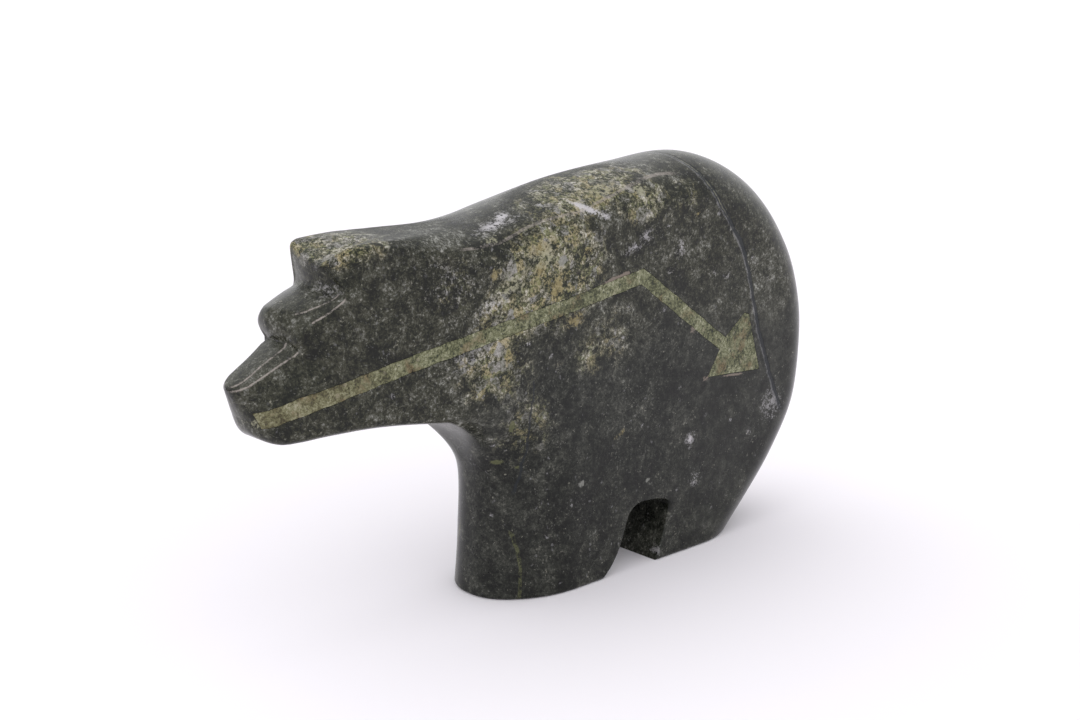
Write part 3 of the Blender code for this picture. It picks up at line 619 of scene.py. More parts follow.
@dataclass
class CarvedBody:
    """The carved body: a box bent from the nose over the back to the soles, notched and slotted."""

    slab: Slab
    steps: tuple[int, ...] = (28, 20, 24, 22, 44, 96, 84, 40)
    side_rows: int = 72
    back_columns: int = 27
    crown_rise: float = 0.0009
    sole_radius: float = 0.0006
    groove_line: float = -0.082
    groove_depth: float = 0.128
    groove_exit: float = 0.061
    groove_round: float = 0.028
    groove_length: float = 0.120
    groove_slopes: tuple[float, float] = (0.60, 0.32)
    crease_gap: float = 0.0027
    crease_width: float = 0.0011
    crease_rise: float = 0.00022
    slant: float = 0.26
    slant_side: float = 0.0020
    slant_up: Pair = (0.690, 0.765)
    slant_end: Pair = (0.072, 0.135)
    row_gathering: float = 0.6
    near_limit: float = 0.75
    bevel_limit: float = 0.7
    bevel_softness: float = 0.03
    edge_clearance: float = 0.00002
    groove_curve: float = 0.8
    groove_flattening: float = 0.3
    groove_fade: float = 0.2
    groove_lead: float = 0.02
    groove_corner: float = 0.0002
    crease_foot: float = 0.6
    crease_run: Pair = (0.2, 0.78)
    crease_start: Pair = (0.22, 0.34)
    crease_end: Pair = (0.62, 0.74)
    crease_middle: float = 0.3
    crease_ways: Pair = (0.55, 0.70)

    def grid(self) -> Array:
        """Points of the bent box, shaped (along, up, across, 3).

        Each station joins a point of the belly to a point of the ridge. Rows between them take the
        slab's half width, less the bevels of the head, and the columns round the edges follow the
        quarter rounds of the back and the chest.

        Returns:
            The grid of points.
        """
        slab = self.slab
        ridge_at, belly_at = slab.ridge.stations(self.steps), slab.belly.stations(self.steps)
        inset = self.crown_rise * slab.edge_value(ridge_at, "crown")
        top = Border(slab.ridge, slab.back, Mark.EAR_TIP, 1.0, ridge_at, inset, slab.length)
        base = Border(slab.belly, slab.front, Mark.NOSE, -1.0, belly_at, np.zeros_like(belly_at),
                      slab.length, slab.nose_length)
        count, rows = len(ridge_at), self.side_rows
        t = np.linspace(0.0, 1.0, rows)
        rise = gathered(t, self.row_gathering)
        side = (base.inner[:, None] * (1.0 - rise)[None, :, None]
                + top.inner[:, None] * rise[None, :, None])
        width = slab.half_width(side.reshape(-1, 2)).reshape(count, rows)
        depth = (1.0 - rise)[None] * np.linalg.norm(top.inner - base.inner, axis=1)[:, None]
        near = slab.near_loss(side.reshape(-1, 2)).reshape(count, rows)
        near = np.minimum(near, self.near_limit * width)
        left = self.bevelled(width - near, depth, ridge_at, "left")[..., None]
        right = self.bevelled(width, depth, ridge_at, "right")[..., None]
        across = np.linspace(-1.0, 1.0, self.back_columns)
        grid = np.zeros((count, rows, self.back_columns, 3))
        grid[..., 0] = side[..., 0, None]
        grid[..., 1] = (left + right) / 2 * across + (right - left) / 2
        grid[..., 2] = side[..., 1, None]
        for row, border in ((-1, top), (0, base)):
            cap = border.columns(slab, across, width[:, row])
            grid[:, row, :, 0] = cap[..., 0]
            grid[:, row, :, 2] = cap[..., 1]
        grid = self.brow_slant(grid)
        # Lines of the bevel edges, where the material paints a highlight.
        self.highlit_edges = self.bevel_lines(grid, depth, ridge_at)
        grid = self.soles(self.crease(self.ear_groove(grid)), width)
        farthest = np.array([slab.length / 2 - self.edge_clearance, slab.thickness, slab.height])
        return np.minimum(grid, farthest)

    def bevelled(self, width: Array, depth: Array, places: Array, side: str) -> Array:
        """The half width less the bevel of one side: full at the top edge, nothing below its drop."""
        slab = self.slab
        inset = slab.edge_value(places, side)[:, None] * slab.thickness
        drop = slab.edge_value(places, "drop")[:, None] * slab.thickness
        share = 1.0 - depth / drop
        share = 0.5 * (share + np.sqrt(share**2 + self.bevel_softness))
        return width - np.minimum(inset, self.bevel_limit * width) * np.minimum(share, 1.0)

    def brow_slant(self, grid: Array) -> Array:
        """Set the brow's face back, in proportion to the distance on its left side, above its foot."""
        along = grid[..., 0] / self.slab.length + 0.5
        share = (between(grid[..., 2] / self.slab.height, self.slant_up)
                 * (1.0 - between(along, self.slant_end)))
        grid[..., 0] += self.slant * np.maximum(self.slant_side - grid[..., 1], 0.0) * share
        return grid

    def bevel_lines(self, grid: Array, depth: Array, places: Array) -> list[Array]:
        """Upper and lower line of the left bevels on the muzzle and the brow, in millimetres.

        The upper line is the edge of the top. The lower one is read between the rows, where the depth
        below the top equals the bevel's drop.

        Args:
            grid: Points of the bent box.
            depth: Depth of each row below the top.
            places: Distances of the stations along the ridge.

        Returns:
            The two lines of the muzzle, then those of the brow.
        """
        slab = self.slab
        drop = slab.edge_value(places, "drop") * slab.thickness
        lines = []
        marks = slab.ridge.marks
        for first, last in ((Mark.NOSE, Mark.BROW_FOOT), (Mark.BROW_EDGE, Mark.EAR_FOOT)):
            rows = np.flatnonzero((places >= marks[first]) & (places <= marks[last]))
            low = np.array([[np.interp(drop[row], depth[row, ::-1], grid[row, ::-1, 0, axis])
                             for axis in range(3)] for row in rows])
            lines += [grid[rows, -1, 0] * MM_PER_METRE, low * MM_PER_METRE]
        return lines

    def ear_groove(self, grid: Array) -> Array:
        """Lower the ears into the groove between them, every upright line in proportion.

        The groove's floor runs from its depth at the front up to its exit. Its walls rise from the
        floor on two slopes, rounded where they meet and where they reach the top.

        Args:
            grid: Points of the bent box.

        Returns:
            The grid with its ears grooved.
        """
        slab = self.slab
        foot = slab.place(slab.head_line[Mark.EAR_FOOT])[1]
        tip = slab.place(slab.head_line[Mark.EAR_TIP])
        behind = (grid[..., 0] - tip[0]) / (self.groove_length * slab.length)
        behind = np.clip(behind, 0.0, 1.0 + self.groove_fade)
        rise = (self.groove_depth + self.groove_exit) * behind**self.groove_curve - self.groove_depth
        floor = tip[1] + slab.thickness * rise
        across = grid[..., 1] / slab.thickness - self.groove_line
        slope = np.where(across > 0.0, self.groove_slopes[1], self.groove_slopes[0])
        slope = slope * (1.0 - self.groove_flattening * behind)
        wall = np.sqrt(across**2 + self.groove_round**2) - self.groove_round
        ridge = slab.ridge.part(Mark.EAR_TIP, Mark.RUMP)
        top = np.interp(grid[..., 0], ridge[:, 0], ridge[:, 1])
        limit = lesser(floor + slope * wall * slab.thickness, top, self.groove_corner)
        share = np.clip((limit - foot) / (top - foot), 0.0, 1.0)
        share = 1.0 - (1.0 - share) * (1.0 - smoothstep((behind - 1.0) / self.groove_fade))
        inside = (grid[..., 0] > tip[0] - self.groove_lead * slab.length) & (grid[..., 2] > foot)
        grid[..., 2] = np.where(inside, foot + (grid[..., 2] - foot) * share, grid[..., 2])
        return grid

    def crease(self, grid: Array) -> Array:
        """Raise the soft crease where the ground top of the back meets its side, as a low bell."""
        x, y, z = grid[..., 0], grid[..., 1], grid[..., 2]
        share = x / self.slab.length + 0.5
        near = ((share > self.crease_run[0]) & (share < self.crease_run[1])
                & (z > self.crease_foot * self.slab.height))
        gap, _ = nearest(np.stack([x[near], z[near]], axis=-1), self.slab.back.line)
        ends = between(share[near], self.crease_start) * (1.0 - between(share[near], self.crease_end))
        bell = self.crease_rise * ends * np.exp(-((gap - self.crease_gap) / self.crease_width)**2)
        bell *= np.clip(np.abs(y[near]) / (self.crease_middle * self.slab.thickness), 0.0, 1.0)
        grid[..., 1][near] += self.crease_ways[0] * bell * np.sign(y[near])
        grid[..., 2][near] += self.crease_ways[1] * bell
        return grid

    def soles(self, grid: Array, width: Array) -> Array:
        """Round the edges of the soles: points near the ground draw in by a quarter round."""
        radius = self.sole_radius
        loss = radius * quarter_round(grid[..., 2] / radius)
        slab = self.slab
        toe, heel = slab.place(slab.chest_line[-1])[0], slab.place(slab.back_line[-1])[0]
        middle, half = (toe + heel) / 2, (heel - toe) / 2
        grid[..., 0] = middle + (grid[..., 0] - middle) * (1.0 - loss / half)
        grid[..., 1] *= 1.0 - loss / width[..., None]
        return grid

    def build(self, cutters: list[bpy.types.Object]) -> bpy.types.Object:
        """Make the body and cut its notch and its slot."""
        item = Maker.place("carved_body", Maker.box_mesh("carved_body", self.grid()))
        Maker.cut(item, cutters)
        return item


@dataclass
class Heartline:
    """The inlaid line: a slot let into the left side, straight tiles along it and the arrowhead."""

    slab: Slab
    width: float = 0.00266
    slot_depth: float = 0.0020
    gap: float = 0.00006
    tile_depth: float = 0.0018
    step: float = 0.0005
    mouth: Pair = (0.0232, 0.5580)
    bend: Pair = (0.6050, 0.7356)
    neck: Pair = (0.7732, 0.5235)
    arrow_top: Pair = (0.8200, 0.5912)
    arrow_shoulder: Pair = (0.8302, 0.5850)
    arrow_tip: Pair = (0.8577, 0.4308)
    arrow_low: Pair = (0.7431, 0.4444)
    mouth_joints: tuple[float, ...] = (0.187, 0.340, 0.520, 0.665)
    arrow_joints: tuple[float, ...] = (0.252,)
    mouth_bows: tuple[float, ...] = (0.0099, 0.0114, 0.0123, 0.0097)
    wander: float = 0.00005
    wander_waves: Pair = (151.0, 397.0)
    quick_share: float = 0.6
    run_shift: float = 3.0
    slot_columns: int = 5
    tile_columns: int = 9
    arrow_columns: int = 21
    arrow_gap: float = 1.8
    shoulder_share: float = 0.12
    tip_share: float = 0.985
    arrow_rows: tuple[int, int, int] = (4, 3, 24)

    def __post_init__(self) -> None:
        """Place the corners of the line and the cuts between its tiles."""
        place = self.slab.place
        self.corners = np.stack([place(self.mouth), place(self.bend), place(self.neck)])
        runs = np.diff(self.corners, axis=0)
        self.ways = runs / np.linalg.norm(runs, axis=1)[:, None]
        self.normals = np.stack([-self.ways[:, 1], self.ways[:, 0]], axis=-1)
        nose = self.slab.nose_line[0] - self.slab.nose_line[-1]
        mitre = self.normals.sum(axis=0)
        first, bend, last = self.corners
        bows = np.array(self.mouth_bows)[:, None] * [0.0, self.slab.height]
        self.cuts = [
            [(first, nose), *((first + runs[0] * share + bow, self.normals[0])
                              for share, bow in zip(self.mouth_joints, bows)), (bend, mitre)],
            [(bend, mitre), *((bend + runs[1] * share, self.normals[1]) for share in self.arrow_joints),
             (last, self.normals[1])]]

    def corner(self, run: int, cut: tuple[Array, Array], offset: Array, shift: float) -> Array:
        """Place on a cut at an offset from the middle line, with the cut moved along the run."""
        point, way = cut
        slant = float(way @ self.normals[run])
        return point + self.ways[run] * shift + way * (offset[..., None] / slant)

    def strip(self, run: int, start: int, half: float, shifts: Pair, across: int) -> Array:
        """Flat grid between two cuts of a run: rows along it, columns from lower to upper edge.

        Each column joins its place on the first cut to its place on the last one. The edges wander a
        little, as hand-cut stone does.

        Args:
            run: 0 for the run from the mouth, 1 for the run to the arrowhead.
            start: Number of the first cut; the last is the next one.
            half: Half the strip's width.
            shifts: How far the first and last cuts are moved along the run.
            across: Number of columns.

        Returns:
            Points in the XZ plane, shaped (along, across, 2).
        """
        offset = np.linspace(-half, half, across)
        first = self.corner(run, self.cuts[run][start], offset, shifts[0])
        last = self.corner(run, self.cuts[run][start + 1], offset, shifts[1])
        count = max(3, int(np.linalg.norm(last[0] - first[0]) / self.step))
        share = np.linspace(0.0, 1.0, count)[:, None, None]
        flat = first + (last - first) * share
        along = (flat - self.corners[0]) @ self.ways[0] / self.slab.length
        slow, quick = self.wander_waves
        wander = self.wander * (np.sin(along * slow + self.run_shift * run)
                                + np.sin(along * quick) * self.quick_share)
        edge = (offset / half)**3
        return flat + self.normals[run] * (wander * edge)[..., None]

    def arrow(self, gap: float, across: int) -> Array:
        """Flat grid of the arrowhead: from the neck to the barbs, then closing on the rounded tip.

        Args:
            gap: How far its edges keep from the slot's.
            across: Number of columns.

        Returns:
            Points in the XZ plane, shaped (along, across, 2).
        """
        place, half = self.slab.place, self.width / 2 - gap
        corners = np.stack([place(self.arrow_low), place(self.arrow_tip), place(self.arrow_shoulder),
                            place(self.arrow_top)])
        away = corners - corners.mean(axis=0)
        inset = self.arrow_gap * gap / np.linalg.norm(away, axis=1)
        low, tip, shoulder, top = corners - away * inset[:, None]
        offset = np.linspace(-half, half, across)
        neck = self.corner(1, self.cuts[1][-1], offset, gap)
        share = np.linspace(0.0, 1.0, across)[:, None]
        barbs = low + (top - low) * share
        neck_rows, shoulder_rows, tip_rows = self.arrow_rows
        first = neck + (barbs - neck) * np.linspace(0.0, 1.0, neck_rows, endpoint=False)[:, None, None]
        closing = np.concatenate([np.linspace(0.0, self.shoulder_share, shoulder_rows, endpoint=False),
                                  np.linspace(self.shoulder_share, self.tip_share, tip_rows)])
        upper = on_line(np.stack([top, shoulder, tip]), np.array([0.0, self.shoulder_share, 1.0]),
                        closing)[:, None]
        lower = (low + (tip - low) * closing[:, None])[:, None]
        last = lower + (upper - lower) * share
        return np.concatenate([first, last])

    def slab_grid(self, flat: Array, proud: float, depth: float) -> Array:
        """Grid of a piece between two depths below the slab's left face, over a flat grid.

        Args:
            flat: Points in the XZ plane, shaped (along, across, 2).
            proud: How far the outer layer stands outside the slab's face.
            depth: How far the inner layer lies inside it.

        Returns:
            Points shaped (along, up, 2, 3).
        """
        width = self.slab.half_width(flat.reshape(-1, 2)).reshape(flat.shape[:2])
        grid = np.empty((*flat.shape[:2], 2, 3))
        grid[..., 0], grid[..., 2] = flat[..., 0, None], flat[..., 1, None]
        grid[..., 0, 1] = -(width + proud)
        grid[..., 1, 1] = -(width - depth)
        return grid

    def slot_cutter(self) -> bpy.types.Object:
        """The cutter of the whole slot: both runs and the arrowhead as one strip."""
        half, columns = self.width / 2, self.slot_columns
        strips = [self.strip(run, start, half, (0.0, 0.0), columns)
                  for run, cuts in enumerate(self.cuts) for start in range(len(cuts) - 1)]
        strips.append(self.arrow(0.0, columns))
        flat = np.concatenate([strips[0]] + [strip[1:] for strip in strips[1:]])
        grid = self.slab_grid(flat, self.slot_depth, self.slot_depth)
        return Maker.place("slot_cutter", Maker.box_mesh("slot_cutter", grid))

    def tiles(self) -> list[tuple[str, bpy.types.Object]]:
        """The straight tiles from the mouth on, then the arrowhead, each with the node it replaces."""
        half, near = self.width / 2 - self.gap, self.gap / 2
        made = []
        for run, cuts in enumerate(self.cuts):
            for start in range(len(cuts) - 1):
                first = self.gap if run == 0 and start == 0 else near
                made.append((f"heartline_tile_{len(made) + 1}",
                             self.strip(run, start, half, (first, -near), self.tile_columns)))
        made.append(("heartline_arrowhead", self.arrow(self.gap, self.arrow_columns)))
        return [(name, Maker.place(name.replace("heartline", "lime"),
                                   Maker.box_mesh(name, self.slab_grid(flat, 0.0, self.tile_depth))))
                for name, flat in made]


@dataclass(frozen=True)
class Wire:
    """A socket of values in a material, on which sums are written as plain expressions."""

    tree: "Tree"
    socket: bpy.types.NodeSocket

    def _math(self, operation: str, first: object, second: object) -> "Wire":
        """One Math node on two values."""
        return self.tree.node("ShaderNodeMath", {"operation": operation}, {0: first, 1: second})

    def __add__(self, other: object) -> "Wire":
        """Sum."""
        return self._math("ADD", self, other)

    def __radd__(self, other: object) -> "Wire":
        """Sum, the other way round."""
        return self._math("ADD", other, self)

    def __sub__(self, other: object) -> "Wire":
        """Difference."""
        return self._math("SUBTRACT", self, other)

    def __rsub__(self, other: object) -> "Wire":
        """Difference, the other way round."""
        return self._math("SUBTRACT", other, self)

    def __mul__(self, other: object) -> "Wire":
        """Product."""
        return self._math("MULTIPLY", self, other)

    def __rmul__(self, other: object) -> "Wire":
        """Product, the other way round."""
        return self._math("MULTIPLY", other, self)

    def __abs__(self) -> "Wire":
        """Size without its sign."""
        return self._math("ABSOLUTE", self, 0.0)

    def most(self, other: object) -> "Wire":
        """The greater of two values."""
        return self._math("MAXIMUM", self, other)

    def swing(self, reach: object) -> "Wire":
        """How far the value is from its middle of 0.5, times the reach."""
        return (self - 0.5) * reach

    def ease(self, low: float, high: float) -> "Wire":
        """Smooth step from 0 at one value to 1 at another; it falls where low is above high."""
        start, end, flip = (low, high, False) if low < high else (high, low, True)
        stepped = self.tree.node("ShaderNodeMapRange", {"interpolation_type": "SMOOTHSTEP"},
                                 {"Value": self, "From Min": start, "From Max": end})
        return 1.0 - stepped if flip else stepped


@dataclass(frozen=True)
class Grain:
    """Scattered grains, one to a cell.

    The size is a cell's in millimetres, the share is that of the cells with a grain in them, and the
    reach says, in cells, where a grain is full and where it ends. The strength is that of its paint.
    """

    size: float
    share: float
    reach: Pair
    strength: float


class Tree:
    """The nodes of one material."""

    def __init__(self, name: str) -> None:
        """Start an empty material with a Principled shader.

        Args:
            name: Name of the material.
        """
        self.material = bpy.data.materials.new(name)
        self.material.use_nodes = True
        self.nodes = self.material.node_tree.nodes
        self.links = self.material.node_tree.links
        self.shader = self.nodes["Principled BSDF"]

    def node(self, kind: str, settings: dict[str, object], sockets: dict[object, object],
             output: object = 0) -> Wire:
        """Add a node.

        Args:
            kind: Type of the node.
            settings: Its settings, set before its sockets; "stops" holds the stops of a ramp.
            sockets: Values or links of its inputs, by name or number.
            output: Name or number of the output that is wanted.

        Returns:
            The wanted output.
        """
        made = self.nodes.new(kind)
        for key, value in settings.items():
            if key == "stops":
                ramp = made.color_ramp.elements
                while len(ramp) < len(value):
                    ramp.new(0.5)
                for stop, (place, colour) in zip(ramp, value):
                    stop.position = place
                    stop.color = (*colour, 1.0)
            else:
                setattr(made, key, value)
        for key, value in sockets.items():
            self.join(value, made.inputs[key])
        return Wire(self, made.outputs[output])

    def join(self, value: object, socket: bpy.types.NodeSocket) -> None:
        """Link a wire to a socket, or set the socket to a number or colour."""
        if isinstance(value, Wire):
            self.links.new(value.socket, socket)
        elif isinstance(value, tuple) and socket.type == "RGBA":
            socket.default_value = (*value, 1.0)
        else:
            socket.default_value = value

    def vector(self, operation: str, first: object, second: object, output: object = 0) -> Wire:
        """One Vector Math node on two vectors."""
        return self.node("ShaderNodeVectorMath", {"operation": operation}, {0: first, 1: second}, output)

    def parts(self, value: Wire, kind: str = "XYZ") -> tuple[Wire, ...]:
        """The three parts of a vector, or of a colour."""
        socket = "Vector" if kind == "XYZ" else kind
        first = self.node(f"ShaderNodeSeparate{kind}", {}, {socket: value})
        return tuple(Wire(self, output) for output in first.socket.node.outputs)

    def swayed(self, place: Wire, size: float, detail: float, rough: float, reach: float) -> Wire:
        """The place moved up to the reach by noise, so that what is drawn on it has ragged shapes."""
        sway = self.noise(place, size, detail, rough, output="Color")
        return self.vector("ADD", place, self.vector("MULTIPLY", sway, (reach, reach, reach)))

    def lay(self, colour: Wire, *layers: tuple[Wire, object]) -> Wire:
        """The colour under layers of paint: each is a mask and its colour, the last on top."""
        for mask, paint in layers:
            colour = self.mix(mask, colour, paint)
        return colour

    def object_mm(self) -> Wire:
        """Object coordinates in millimetres."""
        place = self.node("ShaderNodeTexCoord", {}, {}, "Object")
        return self.vector("MULTIPLY", place, (MM_PER_METRE, MM_PER_METRE, MM_PER_METRE))

    def kept(self, name: str, output: str = "Fac") -> Wire:
        """A number or triple stored at the points of the mesh."""
        return self.node("ShaderNodeAttribute", {"attribute_name": name}, {}, output)

    def noise(self, place: Wire, size: float, detail: float = 3.0, rough: float = 0.55,
              distortion: float = 0.0, output: str = "Fac") -> Wire:
        """Cloudy noise whose largest forms are about the given size across, in millimetres."""
        sockets = {"Vector": place, "Scale": 1.0 / size, "Detail": detail, "Roughness": rough,
                   "Distortion": distortion}
        return self.node("ShaderNodeTexNoise", {}, sockets, output)

    def cells(self, place: Wire, size: float) -> tuple[Wire, Wire]:
        """Scattered cells of the given size: distance from each cell's point, and its random colour."""
        near = self.node("ShaderNodeTexVoronoi", {"feature": "F1"},
                         {"Vector": place, "Scale": 1.0 / size}, "Distance")
        return near, Wire(self, near.socket.node.outputs["Color"])

    def grains(self, place: Wire, grain: Grain) -> Wire:
        """Mask of scattered grains, 1 in the middle of each."""
        near, colour = self.cells(place, grain.size)
        chance, _, _ = self.parts(colour, "Color")
        middle, edge = grain.reach
        return near.ease(edge, middle) * chance.ease(1.0 - grain.share, 1.02 - grain.share)

    def pebbles(self, place: Wire, size: float) -> tuple[Wire, Wire]:
        """Two random numbers from 0 to 1 for every cell of the given size."""
        _, colour = self.cells(place, size)
        return self.parts(colour, "Color")[:2]

    def mix(self, factor: object, first: object, second: object) -> Wire:
        """Blend of two colours."""
        return self.node("ShaderNodeMix", {"data_type": "RGBA"}, {0: factor, 6: first, 7: second}, 2)

    def ramp(self, value: Wire, stops: tuple[tuple[float, Triple], ...]) -> Wire:
        """Colour read from a row of stops."""
        return self.node("ShaderNodeValToRGB", {"stops": stops}, {"Fac": value})

    def bump(self, height: Wire, distance: float) -> Wire:
        """Relief from a height in shares of the distance, which is in metres."""
        return self.node("ShaderNodeBump", {}, {"Height": height, "Distance": distance})

    def dress(self, **sockets: object) -> bpy.types.Material:
        """Join the named sockets of the Principled shader and hand back the material."""
        for name, value in sockets.items():
            self.join(value, self.shader.inputs[name.replace("_", " ")])
        return self.material


@dataclass(frozen=True)
class Patch:
    """A soft patch of one mineral: centre and size in millimetres, turn in degrees, and strength."""

    centre: Triple
    size: Triple
    turn: float = 0.0
    strength: float = 1.0

    def weigh(self, points: Array) -> Array:
        """Weight at each point: a bell over the distance from the centre, measured in patch sizes."""
        turn = np.radians(self.turn)
        offset = points - np.array(self.centre)
        across = offset[:, 0] * np.cos(turn) + offset[:, 2] * np.sin(turn)
        up = offset[:, 2] * np.cos(turn) - offset[:, 0] * np.sin(turn)
        local = np.stack([across, offset[:, 1], up], axis=-1) / np.array(self.size)
        return self.strength * np.exp(-(local**2).sum(-1))


def patches(*rows: tuple[float, ...]) -> tuple[Patch, ...]:
    """Patches from rows of numbers: centre, size, turn and strength, the last two where they differ."""
    return tuple(Patch(row[:3], row[3:6], *row[6:]) for row in rows)


@dataclass(frozen=True)
class Seam:
    """A vein, crack or crease: a sheet through the stone over a line in the XZ plane, in millimetres.

    The sheet leans by the slant times Y, and the line is carried on past both ends by the lead.
    """

    name: str
    line: tuple[Pair, ...]
    slant: float = 0.26
    step: float = 0.8
    lead: float = 60.0

    def measure(self, points: Array) -> Array:
        """Signed distance to the sheet, and the share of the way along it.

        The line is carried on straight past both ends. Each point is dropped square onto the nearest
        piece, and the sign says on which side of the piece it lies.

        Args:
            points: Points in millimetres.

        Returns:
            One row per point: distance, share along the line, 0.
        """
        flat = points[:, (0, 2)] + np.array([self.slant, 0.0]) * points[:, 1:2]
        line = smooth_curve(self.line, self.step)
        length = arc_lengths(line)[-1]
        ends = [line[:1] + (line[:1] - line[1:2]) * self.lead,
                line[-1:] + (line[-1:] - line[-2:-1]) * self.lead]
        lead = np.linalg.norm(ends[0] - line[:1])
        line = np.concatenate([ends[0], line, ends[1]])
        gap, where = nearest(flat, line)
        piece = np.minimum(where.astype(int), len(line) - 2)
        step = line[piece + 1] - line[piece]
        offset = flat - line[piece]
        side = np.sign(step[:, 0] * offset[:, 1] - step[:, 1] * offset[:, 0])
        along = (np.interp(where, np.arange(len(line)), arc_lengths(line)) - lead) / length
        return np.stack([gap * side, along, np.zeros_like(gap)], axis=-1)


class Mineral(Enum):
    """What lies in the stone in patches, by the name of the value stored on the mesh; some of the dark
    patches are painted shade.
    """

    OLIVE = "olive"
    OCHRE = "ochre"
    WHITE = "white"
    VIOLET = "violet"
    LIME = "lime"
    PALE = "pale"
    CREAM = "cream"
    CLAY = "clay"
    DARK = "dark"
    ROUGH = "rough"


